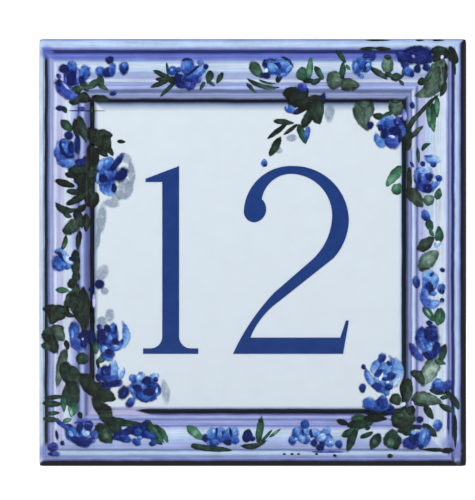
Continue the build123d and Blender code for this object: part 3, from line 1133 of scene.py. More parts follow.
LEAF_ROWS: tuple[Row, ...] = (
    # Upper left
    (-63.8, 56.2, -59.5, 57.8, 2.2, 0.2, 0.5), (-60.2, 60.4, -57.8, 56.6, 2.0, 0.2, 0.5),
    (-58.0, 57.6, -53.6, 60.8, 2.0, 0.22, 0.6), (-53.9, 62.4, -52.9, 57.2, 2.2, 0.22, 0.6),
    (-54.6, 59.4, -50.6, 56.8, 1.3, 0.22, 0.6), (-64.5, 52.8, -60.0, 53.6, 2.5, 0.15, 0.3),
    (-61.5, 54.8, -57.0, 53.6, 3.2, 0.12), (-56.6, 54.4, -50.0, 53.6, 2.0, 0.1, 0.4),
    (-56.3, 45.2, -56.3, 52.8, 1.2, 0.05), (-66.6, 51.2, -65.4, 48.8, 1.5, 0.12, 0.6),
    (-67.2, 46.4, -63.4, 42.6, 2.6, 0.22, 0.6), (-62.4, 46.8, -61.6, 40.0, 2.0, 0.15),
    (-61.2, 48.0, -58.3, 38.6, 2.6, 0.2), (-57.6, 43.2, -50.4, 36.4, 4.6, 0.16),
    (-55.0, 41.8, -49.4, 41.2, 2.8, 0.18), (-51.8, 42.0, -51.0, 35.0, 2.8, 0.18),
    (-51.0, 37.0, -48.9, 34.0, 1.5, 0.18), (-47.8, 39.2, -44.6, 38.8, 1.1, 0.05),
    (-56.8, 38.0, -55.2, 29.0, 3.6, 0.08), (-59.0, 34.0, -56.2, 26.0, 2.6, 0.15),
    (-56.2, 32.0, -57.6, 23.0, 4.6, 0.12), (-62.0, 28.6, -57.8, 23.2, 4.4, 0.14),
    (-61.0, 24.0, -56.4, 20.0, 4.4, 0.14), (-58.0, 27.0, -57.8, 18.5, 3.6, 0.12),
    (-64.8, 28.8, -57.8, 29.0, 3.0, 0.17, 0.3), (-65.9, 27.8, -62.0, 26.4, 1.6, 0.1),
    (-69.2, 25.2, -62.4, 23.2, 2.0, 0.1), (-65.4, 21.6, -59.8, 20.9, 1.7, 0.15, 0.3),
    (-65.3, 16.9, -57.2, 20.8, 2.2, 0.12), (-58.4, 16.6, -54.4, 20.6, 4.0, 0.12),
    (-69.2, 17.9, -61.5, 15.6, 2.2, 0.15, 0.5, -2.0), (-66.2, 6.6, -59.5, 12.4, 3.5, 0.3),
    (-62.0, 14.8, -59.8, 8.6, 2.6, 0.2), (-58.4, 13.6, -58.4, 7.4, 2.0, 0.12),
    (-60.6, 7.6, -61.6, 1.0, 1.6, 0.1), (-65.6, 6.0, -67.4, 0.6, 1.4, 0.3, 0.6, 0.6),
    # Lower left
    (-62.2, 1.0, -62.3, -8.4, 2.6, 0.15, 0.3), (-63.4, -8.2, -60.6, -8.9, 3.0, 0.18),
    (-65.0, -10.4, -61.4, -11.4, 3.0, 0.15), (-69.2, -13.0, -64.4, -13.4, 1.8, 0.32, 0.8),
    (-65.8, -19.6, -60.8, -11.6, 3.2, 0.22), (-63.4, -13.2, -60.6, -22.6, 4.4, 0.22),
    (-62.0, -18.0, -59.2, -25.6, 3.4, 0.2), (-59.6, -12.6, -59.1, -28.4, 3.8, 0.18),
    (-73.4, -19.7, -64.2, -20.4, 3.0, 0.15), (-71.8, -22.0, -65.6, -22.4, 3.0, 0.2),
    (-71.2, -24.8, -67.6, -20.8, 2.6, 0.2), (-74.0, -29.8, -66.4, -26.4, 4.0, 0.2),
    (-72.2, -28.6, -68.8, -35.4, 3.8, 0.15), (-69.8, -25.6, -66.4, -31.0, 3.2, 0.38),
    (-74.2, -32.4, -70.6, -33.2, 1.8, 0.3, 0.6), (-65.6, -30.8, -64.8, -34.0, 1.6, 0.05),
    (-65.8, -33.6, -68.6, -46.8, 2.7, 0.46), (-56.4, -20.2, -56.2, -26.6, 1.2, 0.05),
    (-55.4, -30.4, -55.0, -35.8, 2.3, 0.3, 0.6), (-61.8, -36.6, -57.6, -37.8, 3.5, 0.2, 0.3),
    (-54.8, -38.2, -51.6, -37.0, 2.0, 0.35, 0.8), (-66.8, -38.2, -62.8, -47.0, 4.4, 0.18, 0.2),
    (-64.0, -39.6, -61.2, -46.0, 3.5, 0.18), (-60.4, -42.6, -54.6, -50.4, 4.0, 0.18),
    (-58.0, -46.4, -52.0, -50.4, 4.0, 0.18), (-55.6, -48.4, -48.4, -51.4, 4.4, 0.12),
    (-56.2, -50.6, -51.0, -58.2, 3.5, 0.18), (-53.4, -53.0, -50.0, -60.4, 4.0, 0.15),
    (-63.8, -44.6, -62.6, -54.0, 4.0, 0.18, 0.2), (-65.6, -46.6, -64.6, -53.6, 2.6, 0.18, 0.4),
    (-66.4, -49.6, -66.2, -55.8, 1.8, 0.42, 0.9), (-62.4, -52.0, -63.6, -57.8, 2.4, 0.4, 0.9),
    (-64.4, -53.6, -63.3, -57.8, 1.2, 0.7, 0.8), (-66.6, -59.2, -63.4, -58.4, 1.4, 0.45, 0.9),
    (-73.0, -51.0, -66.2, -50.4, 1.3, 0.2, 0.6), (-73.6, -52.8, -67.0, -53.2, 1.9, 0.2, 0.6),
    (-72.6, -56.4, -67.6, -56.2, 1.2, 0.22, 0.6), (-73.6, -58.2, -67.6, -58.8, 1.7, 0.2, 0.6),
    (-60.8, -56.0, -60.2, -58.4, 1.4, 0.05),
    # Lower rail
    (-54.6, -60.4, -49.4, -67.0, 4.4, 0.22, 0.3), (-53.4, -61.6, -50.6, -65.4, 2.4, 0.42, 0.2),
    (-50.4, -57.6, -46.6, -64.0, 3.8, 0.14, 0.6), (-48.6, -58.4, -43.6, -60.4, 2.2, 0.2, 0.8),
    (-45.6, -60.0, -39.8, -60.4, 1.6, 0.25, 1), (-37.4, -58.8, -35.4, -61.6, 1.8, 0.3, 1),
    (-36.8, -61.4, -33.4, -66.4, 2.4, 0.16, 0.9), (-34.6, -60.4, -30.8, -65.4, 2.0, 0.22, 1),
    (-32.2, -61.6, -29.8, -66.6, 1.6, 0.4, 1), (-35.4, -65.0, -31.6, -67.2, 1.6, 0.2, 0.9),
    (-23.0, -60.9, -17.4, -65.6, 2.6, 0.55, 1), (-21.4, -68.0, -7.6, -69.2, 1.7, 0.18, 0.7),
    (-21.6, -67.4, -17.0, -68.4, 1.4, 0.25, 0.8), (-2.6, -66.4, -1.2, -62.0, 2.8, 0.12, 0.7),
    (1.8, -66.6, 3.1, -57.6, 2.1, 0.3, 0.8), (2.2, -58.2, 3.6, -60.4, 1.2, 0.1),
    (-4.2, -67.6, 4.8, -65.6, 1.6, 0.18, 0.6, -1.2), (3.0, -66.4, 6.8, -62.1, 0.9, 0.35, 0.8),
    (5.8, -64.8, 9.8, -61.8, 0.9, 0.5, 0.8), (29.4, -58.8, 33.6, -60.2, 1.7, 0.03, 0.3),
    (33.4, -60.6, 42.2, -59.4, 3.2, 0.16, 0.9), (34.4, -58.2, 40.4, -58.0, 2.2, 0.25, 0.9),
    (31.2, -64.4, 37.4, -61.6, 2.2, 0.2, 0.9), (36.2, -61.2, 33.2, -69.6, 2.4, 0.16, 0.9),
    (37.6, -65.0, 42.2, -63.0, 1.5, 0.15, 0.7), (39.4, -62.0, 41.2, -61.2, 1.1, 0.15, 0.7),
    (44.4, -63.6, 41.4, -68.9, 3.0, 0.18, 0.5), (43.4, -65.0, 42.0, -67.4, 1.4, 0.4, 0.4),
    (49.4, -69.0, 48.6, -62.0, 5.2, 0.2, 0.6), (48.6, -68.2, 48.2, -64.8, 2.6, 0.38, 0.7),
    (48.6, -58.8, 57.0, -57.6, 5.8, 0.2, 0.1), (50.0, -56.8, 54.0, -56.2, 2.4, 0.4, 0.1),
    (54.8, -57.2, 56.0, -53.6, 2.6, 0.08), (52.4, -63.0, 56.4, -62.6, 2.2, 0.3, 0.9),
    (59.6, -60.2, 64.5, -64.5, 2.4, 0.08, 0.3), (49.0, -50.0, 51.6, -53.4, 3.2, 0.3, 0.25),
    (47.2, -71.2, 49.0, -71.2, 1.4, 0.08, 0.6), (59.8, -69.0, 70.4, -69.3, 1.0, 0.02),
    (66.0, -69.4, 70.4, -69.3, 1.6, 0.02), (70.9, -57.0, 71.0, -68.2, 1.2, 0.02, 0.3),
    (10.4, -70.5, 11.6, -70.5, 0.6, 0.05), (13.2, -70.5, 14.4, -70.5, 0.6, 0.05),
    (15.5, -70.5, 16.6, -70.5, 0.6, 0.05), (21.8, -70.5, 22.9, -70.5, 0.6, 0.05),
    (28.1, -70.9, 29.4, -71.3, 0.8, 0.05),
    # Right rail
    (54.6, -44.0, 53.8, -52.8, 3.0, 0.28), (52.4, -45.6, 53.0, -51.5, 1.6, 0.12),
    (55.6, -51.0, 65.8, -52.6, 3.8, 0.54, 0, 0.6), (56.5, -53.0, 62.0, -53.8, 1.0, 0.1),
    (60.3, -53.8, 63.2, -58.4, 2.2, 0.14, 0.3), (69.0, -50.2, 72.0, -55.2, 2.0, 0.08, 0.7, 0.6),
    (65.4, -53.4, 70.8, -55.8, 1.8, 0.14, 0.8), (65.6, -51.0, 69.2, -50.2, 1.3, 0.2, 0.8),
    (62.0, -48.2, 67.4, -49.4, 1.8, 0.1, 0.6), (67.4, -48.6, 69.8, -50.2, 1.4, 0.1, 0.6),
    (64.8, -36.6, 59.4, -46.6, 4.4, 0.74), (57.6, -41.6, 60.0, -46.4, 2.8, 0.24),
    (55.4, -42.0, 59.0, -43.2, 2.2, 0.24), (67.4, -32.2, 65.6, -39.0, 2.0, 0.22, 0.8),
    (63.6, -38.0, 67.4, -39.0, 1.6, 0.3, 0.9), (59.8, -19.0, 63.6, -24.0, 2.2, 0.35, 1),
    (60.4, -19.6, 62.6, -22.6, 0.8, 0.7, 0.9), (66.0, -19.6, 64.8, -25.6, 3.2, 0.35, 1),
    (65.6, -20.6, 65.6, -23.6, 1.2, 0.5, 1), (58.4, -5.8, 64.8, 0.6, 4.2, 0.62),
    (58.2, -6.2, 62.0, -5.6, 1.2, 0.2), (58.0, 0.6, 63.4, 5.4, 3.4, 0.28),
    (65.4, 3.4, 65.2, 9.0, 2.4, 0.28, 0.9), (61.4, 11.8, 62.6, 7.4, 2.2, 0.3, 0.9),
    (54.4, 22.6, 59.6, 16.0, 3.6, 0.3), (54.9, 30.0, 55.0, 20.0, 1.4, 0.14),
    (60.0, 17.4, 63.6, 19.4, 3.0, 0.6, 0.1), (64.4, 18.6, 65.6, 22.4, 2.0, 0.35, 0.9),
    (52.3, 30.2, 46.8, 23.4, 2.8, 0.52, 1), (49.6, 20.6, 51.8, 24.2, 3.0, 0.45, 1),
    (54.4, 43.8, 54.4, 35.6, 2.4, 0.12), (55.0, 40.0, 59.6, 44.4, 1.5, 0.3),
    (53.6, 42.0, 57.4, 48.6, 1.6, 0.2), (65.2, 55.2, 54.4, 42.8, 1.2, 0.22, 0, -0.8),
    (57.8, 36.6, 58.2, 31.6, 1.0, 0.3, 0.6), (59.4, 35.6, 62.4, 38.0, 1.3, 0.25, 0.7, 0.8),
    (61.6, 52.0, 62.0, 44.0, 1.6, 0.45, 1), (64.6, 54.4, 64.6, 47.6, 1.6, 0.45, 1),
    (63.0, 52.4, 63.6, 43.0, 1.6, 0.33, 0.9),
    # Upper rail, from the right
    (62.6, 70.4, 68.0, 71.4, 2.4, 0.1, 0.6), (67.4, 70.8, 71.4, 66.4, 2.4, 0.12, 0.7),
    (70.2, 67.6, 71.0, 62.4, 1.0, 0.06, 0.3), (65.6, 68.3, 66.0, 58.6, 4.0, 0.5),
    (66.4, 61.4, 57.2, 55.0, 4.0, 0.46, 0, 1.2), (63.4, 66.4, 62.6, 61.0, 1.6, 0.4, 0.9),
    (59.2, 58.6, 59.2, 61.4, 2.4, 0.06, 0.2), (47.2, 62.8, 47.4, 69.2, 3.4, 0.54, 0.2),
    (47.2, 67.6, 47.4, 69.4, 2.2, 0.12), (41.4, 64.8, 47.2, 60.8, 1.8, 0.25, 0.2),
    (48.4, 61.2, 52.4, 61.8, 2.4, 0.25, 0.2), (51.4, 60.4, 53.0, 58.6, 1.0, 0.2),
    (52.6, 61.6, 52.9, 65.0, 0.9, 0.3), (25.8, 60.6, 32.0, 60.2, 5.0, 0.5),
    (30.4, 59.0, 37.2, 58.6, 3.8, 0.36), (31.0, 57.2, 36.4, 57.9, 0.9, 0.15),
    (31.2, 60.8, 31.8, 66.8, 1.8, 0.25, 0.6), (29.3, 70.9, 32.6, 66.4, 1.5, 0.15, 0.5),
    (17.6, 60.4, 17.2, 65.0, 3.6, 0.32, 0.9), (19.6, 60.6, 20.4, 68.4, 1.9, 0.5, 0.8),
    (21.8, 65.3, 24.7, 60.6, 1.8, 0.3, 0.8), (17.6, 60.0, 22.2, 60.4, 1.4, 0.12, 0.5),
    (-0.7, 66.8, 3.0, 61.4, 3.2, 0.3, 0.7), (-2.0, 61.4, 9.4, 58.4, 1.3, 0.2, 0.6, -1.6),
    (8.4, 59.6, 10.4, 63.4, 1.7, 0.08, 0.8), (2.0, 60.8, 8.2, 59.4, 0.7, 0.2, 0.6, -0.6),
    (-2.4, 59.4, 1.4, 55.8, 1.0, 0.2, 0.5), (2.0, 58.6, 7.6, 57.4, 0.8, 0.3, 0.6, -0.4),
    (-29.6, 60.6, -26.0, 60.0, 2.2, 0.03), (-35.0, 63.9, -27.8, 60.4, 1.5, 0.12, 0.4),
    (-35.6, 58.1, -28.8, 60.6, 1.4, 0.12, 0.4), (-34.2, 60.8, -29.0, 60.4, 1.3, 0.12, 0.4),
    (-27.2, 59.8, -32.6, 54.6, 1.2, 0.2, 0.6), (-30.2, 66.4, -29.6, 61.6, 0.8, 0.35, 0.8),
    (-14.6, 63.8, -15.8, 59.2, 2.2, 0.2, 0.7), (-16.8, 60.0, -18.6, 57.0, 1.1, 0.25, 0.6),
    (-16.0, 60.4, -13.4, 58.5, 1.0, 0.2, 0.6), (-10.6, 63.0, -12.6, 59.4, 1.6, 0.2, 0.7),
    # Spray that hangs into the field
    (10.8, 56.2, 18.8, 54.6, 4.2, 0.06, 0.3), (13.0, 51.6, 19.2, 57.4, 4.4, 0.1),
    (12.6, 55.8, 21.0, 51.6, 4.4, 0.1), (18.6, 53.0, 25.8, 53.4, 3.4, 0.08),
    (20.3, 53.8, 23.4, 45.4, 4.0, 0.14), (23.2, 53.4, 23.8, 47.0, 2.6, 0.22, 0.3),
    (13.8, 48.7, 20.8, 51.8, 1.6, 0.06), (17.5, 43.8, 21.4, 51.2, 2.6, 0.14, 0.3),
    (7.4, 46.2, 14.3, 45.5, 1.8, 0.2, 0.3), (11.7, 45.0, 5.2, 40.0, 1.5, 0.1),
    (15.7, 45.0, 10.9, 41.4, 1.2, 0.15), (16.0, 44.9, 18.8, 38.2, 2.2, 0.3, 1),
    (9.7, 40.3, 6.0, 33.8, 2.3, 0.18, 0.3), (36.4, 52.8, 40.4, 43.0, 4.4, 0.46),
    (37.2, 52.0, 41.8, 51.4, 2.8, 0.44), (41.8, 52.6, 39.4, 46.0, 2.8, 0.5),
    (47.8, 50.6, 53.0, 51.4, 5.0, 0.48), (48.6, 53.0, 52.0, 53.0, 1.4, 0.15),
    (42.3, 48.2, 47.3, 47.4, 2.0, 0.2, 0.3),
    # Broken strokes along the upper edge
    (39.6, 74.4, 47.8, 74.4, 0.6, 0.05), (57.2, 74.4, 60.0, 74.4, 0.6, 0.05),
    (63.2, 74.4, 67.0, 74.4, 0.6, 0.05), (37.6, 71.3, 43.6, 71.7, 1.0, 0.12, 0.5),
    (42.8, 71.6, 48.4, 71.3, 1.1, 0.1, 0.5),
    # Last touches, all round the frame
    (40.0, -56.4, 48.4, -56.4, 2.0, 0.02), (39.0, -58.0, 47.0, -58.2, 2.3, 0.02),
    (-55.2, 37.0, -51.0, 33.8, 2.2, 0.08), (65.4, 65.4, 60.6, 56.6, 4.2, 0.4),
    (66.8, 65.0, 65.8, 57.0, 2.4, 0.44), (67.0, 66.6, 65.4, 56.2, 0.9, 0.08, 0.2, 1.3),
    (62.6, 68.4, 70.2, 69.2, 2.0, 0.06, 0.5), (63.4, 66.8, 65.2, 69.4, 1.6, 0.1),
    (69.0, 72.0, 71.8, 66.6, 2.2, 0.05, 0.4), (50.6, -62.8, 58.4, -60.8, 2.0, 0.1, 0.8),
    (45.8, 48.0, 49.4, 49.2, 1.4, 0.25, 0.5), (20.4, 59.2, 24.0, 60.8, 1.6, 0.22, 0.5),
    (-61.4, 14.4, -58.4, 16.8, 2.0, 0.05), (-64.6, 49.7, -52.0, 49.8, 0.4, 0.3),
    (60.0, 60.2, 63.0, 62.4, 1.4, 0.26, 0.8), (62.2, 46.2, 63.6, 42.2, 1.2, 0.4, 0.9),
    (-66.2, -21.0, -62.8, -22.6, 1.6, 0.1), (-47.6, -59.4, -38.6, -60.2, 1.6, 0.12, 0.8),
    (-46.6, -63.2, -41.8, -62.8, 1.9, 0.0, 0.3), (-37.6, -58.8, -33.6, -66.6, 1.4, 0.16, 0.8),
    (-36.2, -59.6, -31.0, -66.8, 1.2, 0.34, 0.9), (-37.8, -61.0, -34.4, -67.0, 1.2, 0.1, 0.6),
    (-54.8, -37.6, -54.0, -41.4, 0.9, 0.1, 0.3), (-66.4, 13.6, -63.6, 12.4, 1.4, 0.3),
    (32.6, 65.8, 34.2, 64.0, 1.1, 0.4, 0.8), (61.8, 7.8, 63.6, 5.8, 1.2, 0.4, 0.8),
    (67.4, 60.0, 65.6, 54.8, 1.5, 0.2, 0.2, 0.5), (46.2, 62.9, 49.4, 61.6, 1.5, 0.2, 0.2),
)

PETAL_ROWS: tuple[Row, ...] = (
    # Upper left corner
    (-67.6, 59.6, -63.6, 57.4, 2.2, 0.3, 0.7), (-66.2, 60.4, -59.4, 62.6, 5.2, 0.3, 0.4),
    (-68.8, 60.4, -61.8, 54.6, 3.4, 0.36, 0.5, -1.2), (-59.9, 59.8, -58.3, 65.4, 3.3, 0.42),
    (-65.2, 64.6, -61.8, 65.8, 3.2, 0.4), (-65.6, 66.0, -66.8, 63.0, 2.9, -0.02),
    (-63.5, 63.4, -63.8, 58.2, 3.1, -0.14), (-66.0, 62.4, -65.6, 59.2, 0.9, 0.4, 0.8),
    (-61.4, 59.6, -61.2, 64.0, 0.8, 0.72, 0.9), (-67.9, 60.8, -67.9, 58.2, 1.5, -0.1),
    (-66.8, 60.0, -64.2, 57.2, 0.7, 0.78, 0.8, -0.3), (-60.4, 59.6, -59.6, 62.2, 1.5, 0.1, 0.5),
    (-50.2, 66.0, -50.2, 68.6, 2.5, -0.04), (-53.5, 61.8, -53.3, 65.2, 2.7, 0.42),
    (-51.0, 61.2, -50.8, 64.8, 3.0, 0.04), (-49.3, 61.8, -49.1, 66.4, 2.1, 0.46),
    (-45.4, 62.4, -45.0, 66.8, 2.8, 0.22), (-45.0, 64.4, -44.4, 66.6, 1.9, 0.46),
    (-69.0, 50.4, -66.6, 50.8, 1.7, 0.02),
    # Left rail
    (-66.4, 31.6, -65.0, 38.6, 6.0, 0.42, 0.15), (-68.4, 32.0, -68.0, 38.8, 2.2, 0.44, 0.3),
    (-68.4, 31.8, -62.4, 31.9, 2.7, 0.56, 0.1, -0.6), (-66.2, 34.2, -65.4, 38.8, 2.8, 0.54),
    (-67.2, 39.0, -64.6, 33.4, 1.1, 0.0, 0.2, -1.0), (-64.6, 33.4, -62.8, 33.8, 0.9, 0.1, 0.2),
    (-63.8, 39.2, -63.8, 34.8, 1.7, 0.02), (-61.6, 34.2, -61.6, 40.6, 1.9, 0.0),
    (-64.6, 39.4, -64.4, 42.6, 2.6, 0.06), (-62.4, 31.6, -58.6, 31.6, 2.4, 0.14, 0.5),
    (-53.4, 24.6, -51.2, 20.8, 2.6, 0.62), (-54.0, 28.6, -51.8, 32.8, 2.6, 0.62, 0.1),
    (-51.2, 22.4, -49.4, 31.4, 4.8, 0.46), (-53.3, 28.8, -53.2, 24.2, 3.4, 0.5),
    (-51.8, 29.0, -49.6, 33.4, 3.2, 0.52), (-50.6, 25.0, -48.6, 29.2, 2.6, 0.44, 0.3),
    (-50.0, 24.0, -51.2, 20.0, 3.4, 0.6), (-48.6, 24.4, -49.0, 21.2, 1.7, 0.0),
    (-49.9, 28.6, -45.4, 34.9, 2.0, 0.14), (-47.6, 24.8, -44.5, 29.8, 3.1, -0.2),
    (-52.5, 27.5, -52.8, 24.5, 2.8, -0.06, 0.2), (-54.6, 24.4, -54.4, 28.0, 0.7, 0.74),
    (-51.9, 31.0, -50.8, 32.6, 1.1, 0.66), (-69.4, -1.4, -65.2, -5.0, 4.8, 0.42, 0, -0.6),
    (-69.4, 0.2, -66.6, 0.6, 1.8, 0.5), (-68.4, 0.2, -65.2, -3.6, 1.2, 0.02),
    (-66.0, 0.6, -63.2, -3.8, 1.8, 0.86, 0, -0.8), (-64.6, -2.0, -62.8, -2.4, 1.3, -0.1),
    (-54.0, -12.9, -53.8, -9.6, 2.9, -0.12), (-57.4, -13.6, -55.9, -12.5, 1.5, -0.04),
    (-62.9, -24.2, -62.8, -30.0, 2.9, 0.34), (-63.4, -28.6, -58.4, -33.4, 3.4, 0.36, 0.3, -1.4),
    (-60.6, -31.2, -58.0, -31.8, 3.4, 0.1, 0.4), (-60.8, -28.4, -58.8, -29.6, 3.0, -0.1, 0.3),
    (-57.4, -27.4, -56.8, -32.0, 3.2, -0.12, 0.3), (-60.0, -30.1, -59.3, -30.5, 0.8, 0.86, 0.3),
    (-63.4, -26.4, -63.2, -30.2, 0.9, 0.6), (-53.8, -31.6, -51.2, -35.4, 2.4, 0.62),
    (-53.4, -35.6, -49.2, -37.8, 2.2, 0.46, 0.1), (-53.0, -32.4, -48.4, -34.4, 3.2, 0.38, 0.3),
    (-53.0, -34.4, -48.6, -36.0, 2.8, 0.32, 0.2), (-51.0, -26.2, -48.4, -30.2, 3.6, 0.4, 0.1),
    (-51.4, -32.4, -48.8, -27.4, 4.4, 0.46, 0.2), (-53.4, -26.4, -53.0, -32.4, 3.0, -0.04, 0.5),
    (-49.4, -28.8, -48.8, -24.8, 2.2, 0.46), (-51.4, -25.2, -51.0, -28.0, 2.2, -0.12),
    (-46.4, -24.6, -47.2, -33.8, 2.3, 0.7, 0, 2.4), (-45.6, -30.6, -47.4, -33.6, 1.5, 0.36),
    (-52.8, -33.0, -51.6, -34.8, 2.0, 0.7), (-48.3, -30.2, -48.3, -32.4, 2.1, -0.16),
    (-50.5, -33.8, -50.7, -36.0, 2.6, -0.12), (-50.8, -29.0, -49.6, -30.6, 1.2, 0.66),
    (-48.2, -25.6, -48.2, -28.4, 0.8, 0.1), (-52.4, -44.4, -50.6, -40.4, 4.2, 0.36, 0.3),
    (-53.9, -44.2, -53.7, -40.6, 1.7, 0.4, 0.6), (-52.6, -47.2, -49.2, -47.0, 1.6, 0.28, 0.7),
    (-48.8, -45.0, -49.0, -38.0, 2.7, 0.74), (-46.4, -44.4, -46.0, -40.0, 2.0, 0.86),
    (-51.9, -39.6, -51.2, -43.8, 2.9, 0.06, 0.3), (-53.8, -44.4, -47.2, -44.2, 1.8, 0.4, 0.2),
    (-49.6, -46.6, -45.8, -45.6, 2.0, 0.34, 0.2), (-54.4, -45.2, -46.6, -45.0, 1.7, 0.02, 0.2, -1.2),
    (-52.6, -41.4, -51.8, -42.6, 0.8, 0.42, 0.6), (-50.2, -39.0, -50.2, -42.0, 0.7, 0.3),
    (-46.4, -51.6, -44.4, -46.9, 3.1, -0.04), (-45.4, -51.0, -44.7, -48.8, 0.9, 0.2),
    (-44.2, -54.4, -41.9, -51.2, 2.5, 0.26), (-42.6, -52.4, -42.0, -51.2, 1.2, 0.6),
    (-42.4, -44.8, -39.2, -46.8, 3.2, 0.44), (-38.8, -44.8, -34.6, -46.6, 3.4, 0.34),
    (-34.4, -45.6, -33.4, -49.6, 2.2, 0.4), (-43.2, -46.4, -39.6, -51.4, 2.6, 0.66),
    (-40.6, -43.4, -38.0, -43.0, 1.9, 0.74), (-36.0, -43.4, -33.0, -43.6, 1.8, 0.72),
    (-38.4, -51.6, -33.8, -50.2, 2.6, 0.4), (-41.8, -47.2, -34.0, -47.6, 4.4, 0.34, 0, -2.6),
    (-40.6, -48.6, -35.6, -50.4, 3.6, 0.44, 0, -0.6), (-41.6, -46.8, -39.4, -48.8, 2.2, 0.1),
    (-42.4, -45.6, -41.6, -43.0, 2.7, 0.48), (-40.2, -45.4, -39.4, -43.0, 1.9, 0.74),
    (-40.2, -42.4, -38.6, -42.2, 0.8, 0.6), (-38.6, -48.2, -37.8, -46.0, 1.6, 0.6, 0.4),
    (-37.0, -43.6, -37.2, -47.0, 2.3, 0.06), (-38.8, -49.0, -34.6, -47.8, 2.4, 0.0, 0.3, -0.6),
    (-35.0, -45.3, -33.4, -44.1, 1.4, 0.2), (-33.2, -46.6, -33.4, -50.4, 1.9, 0.34),
    (-33.6, -47.2, -33.9, -49.4, 0.7, 0.8),
    # Lower left corner
    (-65.2, -61.0, -60.4, -65.4, 4.2, 0.5, 0, -0.6), (-62.4, -60.0, -56.8, -58.8, 1.1, 0.5, 0.8, 0.5),
    (-62.0, -61.4, -56.4, -62.0, 4.2, 0.42, 0.5), (-60.6, -61.6, -57.4, -63.6, 4.0, 0.5),
    (-55.7, -62.2, -55.5, -65.2, 2.2, 0.42, 0.2), (-63.6, -63.6, -55.4, -65.0, 3.2, 0.12, 0.2, -2.2),
    (-66.0, -60.6, -63.4, -60.8, 1.2, 0.1), (-59.8, -62.0, -57.6, -64.0, 2.0, 0.9),
    (-60.3, -59.6, -61.0, -63.0, 2.0, 0.04), (-56.9, -59.0, -58.2, -62.4, 2.4, 0.1, 0.2),
    (-64.6, -62.4, -63.2, -64.4, 1.2, 0.66), (-67.6, -66.8, -66.0, -66.8, 1.5, 0.0),
    (-69.2, -58.8, -64.6, -61.8, 1.5, 0.34, 0.5), (-69.0, -62.2, -68.4, -65.6, 0.9, 0.1, 0.8),
    (-72.0, -68.4, -68.2, -67.8, 2.2, 0.36, 0.8), (-71.6, -70.4, -67.6, -70.6, 1.6, 0.32, 0.8),
    (-70.4, -69.6, -69.6, -66.6, 1.8, 0.3, 0.9),
    # Lower rail
    (-15.4, -64.6, -6.0, -64.2, 3.6, 0.45), (13.4, -64.8, 19.0, -62.2, 3.6, 0.48),
    (21.6, -63.8, 27.6, -65.4, 3.4, 0.48), (-44.0, -62.6, -34.0, -64.6, 2.2, 0.3),
    (-49.2, -64.8, -43.4, -63.0, 2.6, 0.14), (-42.6, -60.8, -37.2, -62.8, 3.0, 0.08),
    (-48.8, -65.2, -43.6, -64.9, 1.6, 0.34, 0.5), (-44.6, -61.8, -41.6, -62.6, 2.2, 0.06),
    (-41.6, -63.8, -39.0, -62.4, 2.4, 0.3), (-39.0, -60.2, -36.6, -60.0, 1.8, 0.0),
    (-38.4, -62.8, -36.4, -64.0, 1.8, 0.3), (-47.0, -65.4, -42.4, -65.8, 1.9, 0.3),
    (-42.4, -65.6, -39.2, -67.2, 2.0, 0.3), (-40.6, -64.8, -38.8, -65.2, 1.2, 0.6),
    (-36.4, -67.2, -33.8, -66.6, 1.8, 0.28), (-17.8, -65.6, -15.2, -64.8, 2.6, 0.06),
    (-15.2, -65.6, -13.4, -61.4, 3.2, 0.56), (-11.8, -65.4, -10.8, -61.2, 2.6, 0.6),
    (-12.6, -61.4, -12.8, -64.4, 0.8, 0.16), (-10.4, -62.6, -9.8, -65.2, 1.2, 0.1),
    (-16.4, -66.6, -13.6, -66.8, 1.4, 0.6), (-15.2, -66.6, -11.8, -66.4, 2.2, 0.4),
    (-9.2, -66.5, -8.4, -62.8, 3.0, 0.36), (-8.4, -64.6, -5.8, -61.2, 3.4, 0.66),
    (-8.0, -61.6, -7.4, -65.0, 0.9, 0.14), (-7.4, -66.8, -5.2, -64.8, 2.6, 0.45),
    (-10.2, -66.5, -7.4, -66.7, 1.8, -0.04), (-13.9, -63.6, -13.5, -62.0, 1.0, 0.8),
    (-6.6, -63.2, -6.2, -61.8, 1.2, 0.78), (-3.0, -66.2, -0.8, -63.2, 2.8, 0.06),
    (16.8, -60.6, 19.6, -60.0, 2.8, 0.3), (14.0, -62.6, 16.6, -62.8, 2.4, 0.6),
    (18.6, -64.0, 19.4, -61.8, 2.2, 0.64), (12.6, -66.4, 15.0, -65.6, 2.7, 0.42),
    (17.2, -66.4, 20.0, -65.2, 2.3, 0.46), (15.8, -65.4, 18.4, -65.0, 2.6, 0.66),
    (17.4, -61.8, 17.8, -64.4, 0.8, 0.16), (21.4, -64.6, 22.4, -61.8, 2.8, 0.68),
    (20.2, -61.8, 20.6, -65.0, 1.0, 0.1), (23.4, -66.4, 25.4, -67.6, 1.6, 0.1),
    (24.6, -63.4, 27.2, -61.8, 2.2, 0.7), (20.2, -67.0, 22.8, -66.6, 2.4, 0.04),
    (22.2, -68.8, 24.8, -68.0, 2.2, 0.04), (22.6, -65.5, 25.6, -64.2, 2.3, 0.8),
    (25.4, -67.2, 28.6, -66.0, 2.7, 0.64), (28.8, -67.6, 31.4, -66.8, 2.4, 0.25),
    (14.6, -65.8, 15.6, -65.2, 0.9, 0.75), (21.9, -63.4, 22.4, -62.4, 1.0, 0.78),
    (26.6, -66.8, 27.6, -66.2, 1.0, 0.78), (20.0, -69.7, 32.0, -69.7, 0.7, 0.4, 1),
    # Lower right corner
    (54.6, -66.4, 60.0, -64.8, 4.2, 0.34, 0.2), (52.4, -66.8, 55.6, -66.8, 3.2, 0.22, 0.3),
    (54.4, -68.2, 57.0, -67.6, 1.8, 0.24, 0.5), (55.4, -64.0, 58.2, -66.6, 3.4, 0.22),
    (59.0, -68.4, 60.2, -61.6, 3.2, 0.48, 0, -0.8), (58.4, -68.8, 59.4, -67.2, 1.6, 0.12, 0.3),
    (59.4, -67.0, 60.4, -62.8, 1.0, 0.72), (55.8, -63.8, 56.8, -62.6, 1.4, 0.8),
